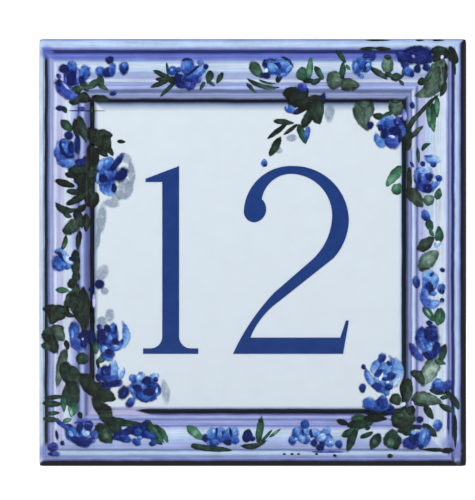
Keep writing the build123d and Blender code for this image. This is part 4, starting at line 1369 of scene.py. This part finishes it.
    (57.2, -66.2, 56.8, -64.2, 1.6, -0.1), (64.6, -62.6, 64.9, -58.6, 2.5, 0.52),
    (58.4, -59.8, 58.8, -57.4, 2.0, -0.02, 0.5), (39.4, -54.0, 48.6, -53.8, 3.3, 0.36),
    (38.5, -53.6, 42.8, -52.6, 3.7, 0.5), (43.6, -53.4, 47.6, -52.0, 3.8, 0.24, 0.2),
    (47.8, -55.6, 49.8, -54.6, 2.4, 0.12, 0.6), (46.4, -56.4, 49.6, -55.6, 1.6, 0.0, 0.4),
    (44.4, -51.0, 46.8, -50.8, 1.0, 0.5), (40.8, -44.4, 47.2, -48.8, 3.2, 0.5),
    (50.0, -37.4, 49.2, -47.0, 2.8, 0.8, 0, 1.8), (43.4, -45.8, 47.8, -40.8, 4.4, 0.82),
    (44.0, -39.6, 48.4, -42.0, 3.6, 0.62), (47.6, -36.8, 48.2, -47.6, 2.8, 0.74, 0, 2.8),
    (45.2, -37.6, 42.2, -42.4, 2.1, 0.64, 0, -0.7), (39.8, -40.8, 42.8, -46.8, 2.1, 0.6, 0, -0.6),
    (45.6, -47.6, 49.4, -46.0, 2.3, 0.5), (42.0, -46.4, 46.4, -48.6, 2.5, 0.26),
    (44.6, -38.8, 46.2, -35.4, 2.3, 0.26), (47.2, -38.2, 48.4, -39.8, 1.2, 0.24),
    (38.2, -40.6, 39.6, -39.8, 1.6, 0.16), (45.8, -42.2, 44.8, -45.0, 1.1, 1.0, 0, -0.3),
    (45.2, -41.2, 43.2, -43.6, 1.9, 0.26, 0.2), (45.4, -44.6, 47.8, -44.2, 1.2, 0.28),
    (48.0, -44.9, 49.2, -42.0, 2.4, 0.2, 0.2), (46.8, -45.7, 48.0, -45.5, 0.8, 1.0),
    (46.4, -47.3, 49.0, -47.2, 1.8, 0.1), (38.5, -49.3, 38.7, -46.1, 2.0, 0.24),
    # Right rail
    (62.8, -47.4, 69.4, -46.6, 3.0, 0.38, 0.3), (63.0, -46.8, 66.6, -45.6, 3.2, 0.46),
    (67.4, -48.4, 69.2, -44.9, 2.7, 0.3, 0.6), (64.0, -45.6, 66.0, -45.0, 1.0, 0.66),
    (59.4, -35.2, 64.4, -36.4, 2.6, 0.16, 0.1), (60.6, -26.6, 62.6, -33.8, 6.0, 0.3, 0.1),
    (59.4, -26.0, 61.6, -35.0, 2.8, 0.38, 0.1, -1.8), (60.8, -31.6, 62.4, -34.4, 2.2, 0.56),
    (58.9, -29.4, 60.6, -33.6, 0.9, 0.6, 0.3, -0.7), (60.0, -27.8, 64.8, -28.4, 4.8, 0.08, 0.3),
    (59.4, -26.2, 59.2, -29.6, 1.4, 0.3), (64.6, -31.2, 63.6, -36.0, 2.4, 0.14, 0.1, 0.4),
    (60.4, -35.2, 62.4, -37.2, 1.8, -0.12), (61.8, -25.6, 61.9, -23.8, 1.9, -0.06),
    (55.4, -31.4, 60.0, -37.8, 2.3, 0.32, 0.4, -0.9), (62.0, -31.8, 62.8, -32.4, 0.8, 0.72),
    (62.2, -27.0, 63.8, -29.4, 0.9, 0.12, 0.3), (60.4, -10.6, 63.4, -7.0, 4.6, 0.72),
    (63.2, -13.4, 64.2, -7.8, 2.2, 0.7), (60.6, -13.2, 60.4, -9.8, 2.0, 0.5),
    (62.2, -8.4, 63.4, -7.0, 0.9, 0.28), (62.3, -14.8, 61.8, -10.4, 2.4, 0.12, 0.1),
    (59.6, -12.2, 61.0, -15.6, 2.0, 0.5, 0.2), (59.0, -13.8, 66.4, -16.6, 2.9, 0.54, 0.3, -3.0),
    (62.0, -18.2, 65.0, -17.6, 1.2, 0.76), (65.6, -17.2, 66.8, -16.2, 1.3, -0.04),
    (66.0, -14.6, 66.0, -10.8, 2.1, 0.4), (66.2, -14.4, 66.3, -12.8, 1.4, 0.08),
    (57.6, -12.4, 57.0, -8.4, 2.1, 0.36), (57.7, -12.2, 57.6, -10.8, 1.5, 0.06),
    (66.2, -6.8, 66.6, -5.4, 1.5, 0.0), (59.2, 12.4, 61.8, 13.6, 3.2, 0.48),
    (60.0, 11.6, 61.2, 12.2, 1.2, 0.2), (63.8, 2.0, 65.6, 4.0, 1.5, 0.95),
    (63.0, 22.0, 65.4, 26.8, 2.2, 0.7), (57.0, 23.4, 62.8, 22.0, 2.6, 0.44, 0.2),
    (59.2, 23.4, 60.4, 29.6, 5.4, 0.5, 0.3), (57.6, 25.0, 58.2, 29.4, 2.6, 0.42, 0.4),
    (57.8, 28.8, 62.4, 28.8, 2.3, 0.74, 0.2), (60.4, 33.0, 65.8, 32.2, 2.7, 0.72),
    (60.2, 33.8, 63.0, 33.6, 0.8, 0.4), (63.2, 29.8, 63.4, 31.8, 1.9, 0.22),
    (59.6, 30.2, 59.5, 32.0, 1.6, 0.16), (56.6, 24.9, 58.8, 25.8, 1.9, -0.02, 0.2),
    (61.9, 25.2, 61.7, 28.0, 2.1, 0.16, 0.4), (59.2, 26.6, 59.9, 27.4, 0.8, 0.68, 0.4),
    (59.6, 22.2, 63.2, 22.6, 2.6, -0.04, 0.3), (63.0, 22.6, 64.4, 24.8, 1.7, 0.56),
    (64.4, 25.2, 66.0, 26.8, 2.0, 0.3), (60.6, 22.8, 61.2, 22.6, 0.7, 0.4, 0.4),
    (68.5, -55.0, 68.5, -63.0, 0.8, 0.25, 1),
    # Upper right corner
    (51.8, 68.0, 61.0, 69.2, 4.4, 0.12, 0.5), (51.2, 66.8, 53.8, 70.2, 4.2, 0.16, 0.4),
    (53.4, 70.8, 62.4, 70.6, 3.0, -0.06, 0.3), (55.8, 68.2, 60.6, 67.6, 3.4, 0.2, 0.7),
    (59.6, 66.6, 62.6, 69.0, 3.2, 0.04, 0.3), (51.8, 66.0, 54.6, 65.6, 2.2, 0.22, 0.3),
    (53.6, 62.0, 55.6, 64.6, 3.2, 0.45), (55.6, 61.4, 56.0, 63.2, 1.3, 0.06),
    (57.6, 65.9, 57.8, 63.0, 2.2, -0.16), (59.6, 64.4, 62.0, 65.6, 2.3, 0.2, 0.5),
    (60.2, 66.4, 61.4, 63.4, 0.9, 0.0, 0.4), (55.7, 68.3, 56.6, 68.8, 1.0, 0.7, 0.9),
    (55.0, 51.4, 56.8, 51.8, 2.2, 0.1, 0.3),
    # Upper rail
    (36.6, 65.0, 41.4, 67.4, 4.0, 0.4), (38.6, 63.4, 41.0, 65.6, 2.2, 0.5),
    (36.2, 62.6, 37.4, 68.0, 3.4, 0.42), (38.4, 68.6, 43.0, 68.8, 3.0, 0.18, 0.4),
    (38.2, 66.6, 41.2, 66.4, 2.2, 0.5), (39.4, 67.8, 38.6, 63.4, 1.0, 0.0, 0, 0.6),
    (39.6, 65.2, 41.0, 66.2, 1.0, 0.78), (35.8, 63.8, 36.4, 66.6, 0.9, 0.62),
    (9.2, 61.6, 13.4, 66.2, 2.8, 0.66), (3.6, 66.6, 9.4, 63.0, 3.4, 0.56, 0.2),
    (5.0, 64.8, 12.6, 65.4, 4.2, 0.48), (5.6, 63.4, 8.6, 66.4, 3.4, 0.6),
    (10.2, 63.2, 12.4, 67.0, 3.9, 0.5), (5.0, 67.4, 9.0, 67.2, 1.6, 0.42, 0.8),
    (6.2, 67.6, 9.8, 64.2, 1.3, 0.1, 0.2, 0.7), (9.8, 68.2, 13.8, 65.2, 0.8, 0.06, 0.1, 0.9),
    (4.2, 67.6, 4.6, 65.0, 1.3, -0.02, 0, -0.3), (4.5, 62.9, 4.9, 64.5, 1.0, 1.0),
    (2.8, 62.4, 6.2, 61.6, 1.9, -0.2), (11.6, 63.2, 13.6, 65.6, 1.0, 0.72),
    (-26.2, 60.4, -17.8, 61.4, 3.6, 0.44, 0.4), (-26.0, 60.0, -20.6, 58.6, 2.6, 0.42, 0.5),
    (-27.4, 60.0, -23.6, 58.2, 2.4, 0.14, 0.3), (-24.4, 60.6, -18.8, 62.4, 2.8, 0.3, 0.4),
    (-24.0, 58.6, -20.2, 59.2, 3.4, 0.38, 0.7), (-22.6, 57.0, -20.0, 60.4, 1.2, 0.16, 0.6),
    (-25.0, 60.0, -22.4, 57.0, 0.8, 0.12, 0.4), (-22.8, 62.0, -22.9, 67.4, 4.2, 0.46, 0.1),
    (-25.0, 66.6, -21.0, 66.8, 0.8, 0.12, 0.2, 1.0), (-23.4, 61.0, -16.6, 65.0, 3.2, 0.5, 0.1),
    (-23.4, 61.8, -18.8, 65.4, 0.9, 0.06, 0.3), (-21.6, 61.6, -17.4, 64.4, 1.0, 0.56, 0.1),
    (-24.4, 60.8, -19.6, 60.4, 0.8, 0.08, 0.3, -0.4), (-19.6, 66.6, -17.2, 66.6, 1.6, 0.62, 0.4),
    (-17.4, 65.0, -15.6, 65.4, 1.6, 0.06), (-29.8, 63.6, -26.6, 63.6, 2.9, 0.36),
    (-29.0, 63.8, -28.0, 64.2, 0.8, 0.66), (-27.2, 62.4, -25.2, 60.6, 2.2, -0.1),
    # Spray that hangs into the field
    (15.6, 58.2, 19.0, 57.6, 2.6, 0.3, 0.4), (23.8, 54.8, 25.6, 54.4, 2.2, 0.06),
    (11.2, 50.7, 14.8, 50.0, 2.3, 0.46), (11.4, 50.9, 12.4, 51.0, 0.9, 0.6),
    (14.6, 49.6, 16.0, 49.6, 1.4, 0.1), (18.7, 39.4, 19.6, 44.2, 1.6, 0.46),
    (3.8, 30.1, 4.2, 32.7, 1.8, 0.5), (4.3, 30.2, 4.5, 31.0, 1.0, 0.1),
    (41.0, 43.4, 41.6, 46.0, 1.9, 0.02), (43.8, 44.4, 49.8, 47.4, 3.0, 0.56),
    (50.4, 46.6, 53.0, 41.0, 2.8, 0.42, 0.2), (44.6, 38.4, 48.0, 40.8, 2.6, 0.52),
    (44.8, 42.4, 51.4, 43.0, 5.6, 0.34, 0.2), (46.2, 39.4, 52.0, 39.0, 3.6, 0.4, 0.4, -0.6),
    (43.2, 42.0, 46.2, 37.0, 2.4, 0.56, 0, -0.5), (46.0, 45.0, 49.8, 46.0, 2.6, 0.46),
    (49.6, 45.6, 52.8, 46.6, 2.8, 0.2, 0.5), (52.4, 42.6, 48.0, 43.0, 2.6, -0.14),
    (44.6, 42.8, 45.0, 45.2, 1.5, 0.08), (46.6, 43.8, 46.0, 40.0, 2.0, -0.16),
    (47.6, 41.0, 50.0, 40.5, 0.9, 0.9, 0.2), (51.8, 38.6, 51.8, 41.4, 1.3, 0.08, 0.6),
    (50.4, 45.4, 51.2, 45.8, 0.8, 0.55, 1), (52.0, 46.2, 52.8, 47.4, 1.3, -0.02),
    (53.0, 50.4, 53.6, 46.6, 1.3, 0.8, 0.9),
    # Last touches, all round the frame
    (-61.4, 50.6, -58.8, 50.3, 1.2, 0.34, 0.9), (-55.9, -14.6, -55.8, -19.4, 1.0, 0.94, 1),
    (52.0, -54.2, 53.6, -52.8, 1.2, 1.0), (66.0, 67.6, 66.5, 69.0, 0.9, 0.95, 0.3),
    (57.2, -61.6, 59.4, -60.8, 1.4, 0.2), (46.2, -49.8, 48.0, -49.2, 1.4, 0.5),
    (55.2, 31.8, 56.4, 30.0, 0.9, 0.3, 0.5), (-54.6, -25.4, -53.2, -26.8, 1.5, 0.22),
    (-50.2, 55.4, -47.8, 56.2, 1.3, 0.25, 0.4), (-68.8, 62.4, -67.2, 61.2, 1.3, 0.4, 0.6),
    (-48.6, -34.4, -46.8, -33.0, 1.5, 0.58), (-55.0, -42.6, -53.8, -45.4, 1.5, 0.04),
    (-0.6, -66.0, 0.8, -64.8, 1.3, 0.1), (37.0, 62.4, 38.8, 61.4, 1.4, 0.5),
    (-27.2, 63.6, -25.2, 64.4, 1.6, 0.3, 0.1), (62.2, -14.8, 64.4, -14.2, 1.4, 0.5),
    (-65.8, -5.6, -63.8, -4.6, 1.4, 0.5), (-67.4, 39.4, -65.0, 38.8, 1.5, 0.36, 0.2),
)


@dataclass(frozen=True)
class BrushLoad:
    """One kind of brush stroke: its rows, how finely it is drawn, its shape and how high it lies.

    Strokes are drawn longer and wider than their rows say, because they thin out at the edge. The
    lift and the depth are in millimetres: a stroke lies above the tile by the lift and by a share of
    the depth, which grows with the number of strokes under it.
    """

    name: str
    rows: tuple[Row, ...]
    along: int
    across: int
    point: float
    belly: float
    longer: float
    wider: float
    lift: float
    depth: float
    unevenness: float
    seed: int

    def full_rows(self) -> list[Row]:
        """The rows with all 8 values: 0 for a second hue and a bow that a row leaves out."""
        return [(*row, 0.0, 0.0)[:8] for row in self.rows]


@dataclass
class Garland:
    """The painted garland: grey washes, leaves and roses, stroke by stroke, laid on the relief.

    Lengths are in millimetres: the shake of an outline, the span round a point in which the highest
    ground counts, how much a stroke thins at its rim, how deep its underside is buried, and where
    the rays that feel for the ground start and how far they go.
    """

    washes: BrushLoad = BrushLoad(
        "garland_washes", GREY_ROWS, along=18, across=8, point=0.1, belly=0.0, longer=1.2, wider=1.6,
        lift=0.01, depth=0.01, unevenness=0.5, seed=3,
    )
    leaves: BrushLoad = BrushLoad(
        "garland_leaves", LEAF_ROWS, along=20, across=10, point=0.18, belly=-0.2, longer=1.14, wider=1.38,
        lift=0.022, depth=0.04, unevenness=0.3, seed=5,
    )
    roses: BrushLoad = BrushLoad(
        "garland_roses", PETAL_ROWS, along=16, across=8, point=0.0, belly=0.12, longer=1.26, wider=1.5,
        lift=0.065, depth=0.075, unevenness=0.22, seed=7,
    )
    wash_finish: ShadeWash = ShadeWash()
    leaf_finish: StrokeEnamel = StrokeEnamel(
        "leaf_enamel",
        ramp=(
            (0.0, "#0a100d"), (0.15, "#15211b"), (0.3, "#25362d"), (0.5, "#3d5146"), (0.7, "#5d776d"),
            (0.85, "#7d998e"), (1.0, "#a9c0b4"),
        ),
        other=(
            (0.0, "#0a1a15"), (0.2, "#173328"), (0.4, "#285242"), (0.6, "#437a5d"), (0.8, "#6ba083"),
            (1.0, "#a9cfb6"),
        ),
        fade=0.1, pooling=0.26, mottle=0.16, mottle_reach=2.0, hair=0.07,
    )
    rose_finish: StrokeEnamel = StrokeEnamel(
        "rose_enamel",
        ramp=(
            (0.0, "#001450"), (0.12, "#051e62"), (0.25, "#102a7a"), (0.4, "#224a9c"), (0.52, "#3863b6"),
            (0.64, "#5482ca"), (0.76, "#75a4de"), (0.88, "#93b8e8"), (1.0, "#dfeaf8"),
        ),
        other=((0.0, "#0c0c48"), (0.25, "#242678"), (0.5, "#474db0"), (0.75, "#8088d8"), (1.0, "#c9cdf2")),
        fade=0.18, pooling=0.04, mottle=0.15, mottle_reach=1.3, hair=0.05, lean=0.13, feather=0.42,
    )
    tone_spread: float = 0.04
    shake: float = 2.6
    span: float = 0.3
    thinning: float = 0.004
    buried: float = 0.08
    rim_start: float = 0.999
    rim_weld: float = 0.001
    rim_power: float = 6.0
    tip_room: float = 1.0001
    ray_start: float = 30.0
    ray_length: float = 60.0
    tree: Tree | None = field(default=None, init=False)
    sockets: dict[str, str] = field(default_factory=dict, init=False)

    def grow_tree(self) -> None:
        """Builds the node tree that turns rows of points into brush strokes on the tile."""
        tree = bpy.data.node_groups.new("brush_strokes", "GeometryNodeTree")
        wanted = (
            ("Rows", "NodeSocketGeometry"), ("Ground", "NodeSocketObject"), ("Along", "NodeSocketInt"),
            ("Across", "NodeSocketInt"), ("Point", "NodeSocketFloat"), ("Belly", "NodeSocketFloat"),
            ("Unevenness", "NodeSocketFloat"), ("Enamel", "NodeSocketMaterial"),
        )
        for name, kind in wanted:
            socket = tree.interface.new_socket(name=name, in_out="INPUT", socket_type=kind)
            self.sockets[name] = socket.identifier
        tree.interface.new_socket(name="Strokes", in_out="OUTPUT", socket_type="NodeSocketGeometry")
        add = partial(put, tree)
        given = add("NodeGroupInput").node.outputs

        # One patch for each row, with the row's own values on its points
        rooted = add(
            STORE,
            {"Geometry": given["Rows"], "Name": "root", "Value": add("GeometryNodeInputPosition")},
            data_type="FLOAT_VECTOR", domain="POINT",
        )
        patch = self.closed_patch(add, given)
        laid = add("GeometryNodeInstanceOnPoints", {"Points": rooted, "Instance": patch})
        strokes = add("GeometryNodeRealizeInstances", {"Geometry": laid})
        single = ("along", "across", "rim", "under", "turn", "reach", "breadth", "bow", "lift")
        own = {name: add(RECALL, {"Name": name}, data_type="FLOAT") for name in single}
        own["root"] = add(RECALL, {"Name": "root"}, data_type="FLOAT_VECTOR")

        shaken = self.shaken_outline(add, given, own)
        surface = self.onto_relief(add, given, own, shaken)
        conformed = add("GeometryNodeSetPosition", {"Geometry": strokes, "Position": surface})
        smooth = add("GeometryNodeSetShadeSmooth", {"Geometry": conformed})
        real = add("GeometryNodeRealizeInstances", {"Geometry": smooth})
        painted = add("GeometryNodeSetMaterial", {"Geometry": real, "Material": given["Enamel"]})
        add("NodeGroupOutput", {"Strokes": painted})
        self.tree = tree

    def closed_patch(self, add: Adder, given: Outputs) -> Socket:
        """Makes the round patch that every stroke is shaped from.

        Args:
            add: Adds a node to the stroke tree.
            given: The tree's own inputs.

        Returns:
            A patch with an upper side and an underside, closed along its rim.
        """
        # A flat sheet from -1 to 1 both ways, drawn in to a round patch without pinched corners
        patch = add(
            "GeometryNodeMeshGrid",
            {"Size X": 2.0, "Size Y": 2.0, "Vertices X": given["Along"], "Vertices Y": given["Across"]},
        )
        a = add(SEPARATE, (add("GeometryNodeInputPosition"),), out="X")
        b = a.node.outputs["Y"]
        round_a, round_b = self.draw_in(add, a, b), self.draw_in(add, b, a)
        disc = add(COMBINE, {"X": round_a, "Y": round_b})
        distance = add(VECTOR_MATH, (disc,), out="Value", operation="LENGTH")
        for name, value in (("along", round_a), ("across", round_b), ("rim", distance)):
            patch = add(
                STORE, {"Geometry": patch, "Name": name, "Value": value},
                data_type="FLOAT", domain="POINT",
            )

        # A turned copy closes the patch from below, joined to it along the rim
        turned_over = add("GeometryNodeFlipFaces", {"Mesh": patch})
        halves = [
            add(
                STORE, {"Geometry": half, "Name": "under", "Value": value},
                data_type="FLOAT", domain="POINT",
            )
            for half, value in ((patch, 0.0), (turned_over, 1.0))
        ]
        joined = add("GeometryNodeJoinGeometry", {"Geometry": halves})
        rim = add(RECALL, {"Name": "rim"}, data_type="FLOAT")
        on_rim = add(
            "FunctionNodeCompare", {"A": rim, "B": self.rim_start},
            operation="GREATER_THAN", data_type="FLOAT",
        )
        return add(
            "GeometryNodeMergeByDistance",
            {"Geometry": joined, "Selection": on_rim, "Distance": self.rim_weld},
        )

    def draw_in(self, add: Adder, one: Socket, other: Socket) -> Socket:
        """Draws one coordinate of a square in towards a disc.

        Args:
            add: Adds a node to the stroke tree.
            one: The coordinate, from -1 to 1.
            other: The other coordinate.

        Returns:
            The coordinate on the disc.
        """
        square = add(MATH, (other, other), operation="MULTIPLY")
        half = add(MATH, (square, -0.5, 1.0), operation="MULTIPLY_ADD")
        root = add(MATH, (half,), operation="SQRT")
        return add(MATH, (one, root), operation="MULTIPLY")

    def shaken_outline(self, add: Adder, given: Outputs, own: Sockets) -> Socket:
        """Shapes each patch as its stroke and lays it along its row.

        Args:
            add: Adds a node to the stroke tree.
            given: The tree's own inputs.
            own: The values of each stroke and of its points.

        Returns:
            The place of each point on the front, in metres.
        """
        # Pointed ends, a belly towards the root or the tip, and the bow of the stroke
        square = add(MATH, (own["along"], own["along"]), operation="MULTIPLY")
        left_over = add(MATH, (self.tip_room, square), operation="SUBTRACT")
        narrow = add(MATH, (left_over, given["Point"]), operation="POWER")
        swell = add(MATH, (own["along"], given["Belly"], 1.0), operation="MULTIPLY_ADD")
        slim = add(MATH, (narrow, swell), operation="MULTIPLY")
        half_width = add(MATH, (own["breadth"], slim), operation="MULTIPLY")
        side = add(MATH, (own["across"], half_width), operation="MULTIPLY")
        bowed = add(MATH, (own["bow"], left_over, side), operation="MULTIPLY_ADD")
        run = add(MATH, (own["along"], own["reach"]), operation="MULTIPLY")
        local = add(COMBINE, {"X": run, "Z": bowed})
        turned = add(
            "ShaderNodeVectorRotate",
            {"Vector": local, "Axis": (0.0, -1.0, 0.0), "Angle": own["turn"]},
            rotation_type="AXIS_ANGLE",
        )
        placed = add(VECTOR_MATH, (turned, own["root"]), operation="ADD")

        # The shaky outline of a soft brush
        waves = {"Vector": placed, "Scale": 1 / (self.shake * MM), "Detail": 2.0}
        shake = add(NOISE, waves, out="Color")
        centred = add(VECTOR_MATH, (shake, (0.5, 0.5, 0.5)), operation="SUBTRACT")
        amount = add(MATH, (own["breadth"], given["Unevenness"]), operation="MULTIPLY")
        jitter = add(VECTOR_MATH, {0: centred, "Scale": amount}, operation="SCALE")
        return add(VECTOR_MATH, (placed, jitter), operation="ADD")

    def onto_relief(self, add: Adder, given: Outputs, own: Sockets, shaken: Socket) -> Socket:
        """Lays the strokes over the highest ground nearby, with their undersides buried in the glaze.

        Args:
            add: Adds a node to the stroke tree.
            given: The tree's own inputs.
            own: The values of each stroke and of its points.
            shaken: The place of each point on the front.

        Returns:
            The place of each point on the tile.
        """
        x = add(SEPARATE, (shaken,), out="X")
        z = x.node.outputs["Z"]
        ground = add("GeometryNodeObjectInfo", {"Object": given["Ground"]}, out="Geometry")
        above = (0.0, -self.ray_start * MM, 0.0)
        heights = []
        for step_x, step_z in ((0, 0), (1, 0), (-1, 0), (0, 1), (0, -1)):
            offset = (step_x * self.span * MM, 0.0, step_z * self.span * MM)
            beside = add(VECTOR_MATH, (shaken, offset), operation="ADD")
            hit = add(
                "GeometryNodeRaycast",
                {
                    "Target Geometry": ground, "Ray Direction": (0.0, 1.0, 0.0),
                    "Source Position": add(VECTOR_MATH, (beside, above), operation="ADD"),
                    "Ray Length": self.ray_length * MM,
                },
                out="Hit Position",
            )
            heights.append(add(SEPARATE, (hit,), out="Y"))
        true_y = highest = heights[0]
        for height in heights[1:]:
            highest = add(MATH, (highest, height), operation="MINIMUM")
        steep = add(MATH, (own["rim"], self.rim_power), operation="POWER")
        thin = add(MATH, (steep, self.thinning * MM), operation="MULTIPLY")
        thick = add(MATH, (own["lift"], thin), operation="SUBTRACT")
        upper = add(MATH, (highest, thick), operation="SUBTRACT")
        sunk = add(MATH, (true_y, self.buried * MM), operation="ADD")
        lower = add(MIX, {"Factor": steep, NUMBER_A: sunk, NUMBER_B: upper}, data_type="FLOAT")
        y = add(MIX, {"Factor": own["under"], NUMBER_A: upper, NUMBER_B: lower}, data_type="FLOAT")
        return add(COMBINE, {"X": x, "Y": y, "Z": z})

    def layers(self, load: BrushLoad) -> list[int]:
        """Counts how many strokes of a brush lie under each other, so that none cuts into the next.

        Args:
            load: The brush and its rows.

        Returns:
            The layer of each row, from 1 up.
        """
        boxes: list[Row] = []
        levels: list[int] = []
        for x0, z0, x1, z1, width, _, _, bow in load.full_rows():
            edge = width / 2 * load.wider + abs(bow)
            box = (min(x0, x1) - edge, min(z0, z1) - edge, max(x0, x1) + edge, max(z0, z1) + edge)
            under = [
                level for level, (left, low, right, high) in zip(levels, boxes)
                if left < box[2] and box[0] < right and low < box[3] and box[1] < high
            ]
            boxes.append(box)
            levels.append(1 + max(under, default=0))
        return levels

    def row_points(self, load: BrushLoad) -> Mesh:
        """Turns the rows of one brush into points with the values that the tree reads.

        Args:
            load: The brush and its rows.

        Returns:
            A mesh of bare points.
        """
        draw = random.Random(load.seed)
        spots: list[Place] = []
        values: dict[str, list[float]] = {
            name: [] for name in ("turn", "reach", "breadth", "bow", "tone", "hue", "lift")
        }
        levels = self.layers(load)
        for level, (x0, z0, x1, z1, width, tone, hue, bow) in zip(levels, load.full_rows()):
            spots.append(((x0 + x1) / 2 * MM, 0.0, (z0 + z1) / 2 * MM))
            values["turn"].append(math.atan2(z1 - z0, x1 - x0))
            values["reach"].append(math.hypot(x1 - x0, z1 - z0) / 2 * load.longer * MM)
            values["breadth"].append(width / 2 * load.wider * MM)
            values["bow"].append(bow * MM)
            values["tone"].append(tone + draw.uniform(-self.tone_spread, self.tone_spread))
            values["hue"].append(hue)
            values["lift"].append((load.lift + load.depth * level / max(levels)) * MM)
        mesh = bpy.data.meshes.new(load.name)
        mesh.from_pydata(spots, [], [])
        for name, numbers in values.items():
            mesh.attributes.new(name, "FLOAT", "POINT").data.foreach_set("value", numbers)
        return mesh

    def paint(self, load: BrushLoad, finish: Material, tile: Piece) -> Piece:
        """Paints all strokes of one brush onto the tile.

        Args:
            load: The brush and its rows.
            finish: The enamel.
            tile: The tile they lie on.

        Returns:
            The strokes as one plain mesh.
        """
        made = add_object(load.name, self.row_points(load))
        modifier = made.modifiers.new("strokes", "NODES")
        modifier.node_group = self.tree
        chosen = {
            "Ground": tile, "Along": load.along + 1, "Across": load.across + 1, "Point": load.point,
            "Belly": load.belly, "Unevenness": load.unevenness, "Enamel": finish,
        }
        for name, value in chosen.items():
            modifier[self.sockets[name]] = value
        graph = bpy.context.evaluated_depsgraph_get()
        plain = bpy.data.meshes.new_from_object(made.evaluated_get(graph))
        made.modifiers.clear()
        made.data = plain
        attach(made, "root")
        return made

    def build(self, tile: Piece) -> list[Piece]:
        """Paints the washes, the leaves and the roses in that order.

        Args:
            tile: The tile they lie on.

        Returns:
            The three pieces.
        """
        self.grow_tree()
        washes = self.paint(self.washes, self.wash_finish.material(), tile)
        leaves = self.paint(self.leaves, self.leaf_finish.material(), tile)
        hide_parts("leaves")
        roses = self.paint(self.roses, self.rose_finish.material(), tile)
        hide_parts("roses")
        return [washes, leaves, roses]


@dataclass(frozen=True)
class Lamp:
    """A soft square lamp, in metres and watts."""

    name: str
    place: Place
    size: float
    power: float


@dataclass
class Studio:
    """Pale floor and backdrop, soft lamps and a camera square on to the plaque.

    The floor's reach and bend are in metres. Its level and the camera's sizes are in millimetres.
    """

    lamps: tuple[Lamp, ...] = (
        Lamp("key_lamp", (-0.42, -0.75, 0.62), 0.5, 6.2),
        Lamp("fill_lamp", (0.7, -0.8, 0.0), 0.6, 2.0),
        Lamp("back_lamp", (0.6, 0.8, 0.7), 0.4, 5.0),
    )
    sky: float = 0.45
    lens: float = 100.0
    sensor: float = 36.0
    frame_height: float = 175.25
    aim_x: float = -5.36
    aim_z: float = 0.88
    floor_level: float = -75.0
    floor_reach: float = 1.6
    bend: float = 0.4
    bend_turns: int = 12
    paper_colour: str = "#e4e4e4"
    paper_glow: float = 0.62

    def lay_floor(self) -> None:
        """Lays a pale floor that curves up into a backdrop."""
        level = self.floor_level * MM
        start = self.floor_reach - self.bend
        profile = [(-self.floor_reach, level), (start, level)]
        for i in range(1, self.bend_turns + 1):
            angle = math.pi / 2 * i / self.bend_turns
            profile.append((start + self.bend * math.sin(angle), level + self.bend * (1 - math.cos(angle))))
        profile.append((self.floor_reach, level + self.floor_reach))
        shell = bmesh.new()
        left, right = (
            [shell.verts.new((x, y, z)) for y, z in profile] for x in (-self.floor_reach, self.floor_reach)
        )
        for i in range(len(profile) - 1):
            shell.faces.new((left[i], right[i], right[i + 1], left[i + 1]))
        mesh = bpy.data.meshes.new("floor")
        shell.to_mesh(mesh)
        shell.free()
        mesh.polygons.foreach_set("use_smooth", [True] * len(mesh.polygons))
        mesh.materials.append(self.paper())
        add_object("floor", mesh)

    def shown(self, add: Adder) -> Socket:
        """Tells rays that show the background from rays that light the plaque.

        Args:
            add: Adds a node to the tree of the paper or the world.

        Returns:
            1 for what the camera sees, directly or mirrored, and 0 for light.
        """
        seen = add("ShaderNodeLightPath", out="Is Camera Ray")
        rays = seen.node.outputs
        for name in ("Is Glossy Ray", "Is Transmission Ray"):
            seen = add(MATH, (seen, rays[name]), operation="MAXIMUM")
        return seen

    def paper(self) -> Material:
        """White background paper that stays white to the camera and keeps the shadow.

        Returns:
            The material.
        """
        made, add = blank_material("background_paper")
        glow = add(MATH, (self.shown(add), self.paper_glow), operation="MULTIPLY")
        dress_surface(
            add,
            {
                "Base Color": to_linear(self.paper_colour), "Roughness": 0.9, "Specular IOR Level": 0.0,
                "Emission Color": WHITE, "Emission Strength": glow,
            },
        )
        return made

    def light(self) -> None:
        """Hangs the lamps and sets the even light of the room."""
        for lamp in self.lamps:
            data = bpy.data.lights.new(lamp.name, "AREA")
            data.size = lamp.size
            data.energy = lamp.power
            made = bpy.data.objects.new(lamp.name, data)
            made.location = lamp.place
            made.rotation_euler = (-Vector(lamp.place)).to_track_quat("-Z", "Y").to_euler()
            bpy.context.scene.collection.objects.link(made)
        world = bpy.data.worlds.new("soft_room")
        world.use_nodes = True
        world.node_tree.nodes.clear()
        add = partial(put, world.node_tree)
        strength = add(MAP_RANGE, {"Value": self.shown(add), "To Min": self.sky, "To Max": 1.0})
        sky = add("ShaderNodeBackground", {"Color": WHITE, "Strength": strength})
        add("ShaderNodeOutputWorld", {"Surface": sky})
        bpy.context.scene.world = world

    def set_camera(self) -> None:
        """Stands the camera square on to the front."""
        data = bpy.data.cameras.new("camera")
        data.lens = self.lens
        data.sensor_fit = "VERTICAL"
        data.sensor_height = self.sensor
        made = bpy.data.objects.new("camera", data)
        away = self.frame_height * self.lens / self.sensor + MOULDING.rim_level
        made.location = Vector((self.aim_x, -away, self.aim_z)) * MM
        made.rotation_euler = (math.pi / 2, 0.0, 0.0)
        bpy.context.scene.collection.objects.link(made)
        bpy.context.scene.camera = made

    def build(self) -> None:
        """Sets up the floor, the lamps, the camera and the view."""
        self.lay_floor()
        self.light()
        self.set_camera()
        bpy.context.scene.view_settings.view_transform = "Standard"


def main() -> None:
    """Builds the plaque's pieces in order and reports each one."""
    logging.basicConfig(level=logging.INFO, format="%(name)s: %(message)s")
    tile = GlazedTile().build()
    pieces = [tile] + PooledLines().build()
    Numerals().dress()
    pieces += Garland().build(tile)
    for piece in pieces:
        log.info("%s: %d faces", piece.name, len(piece.data.polygons))
    Studio().build()


if __name__ == "__main__":
    main()
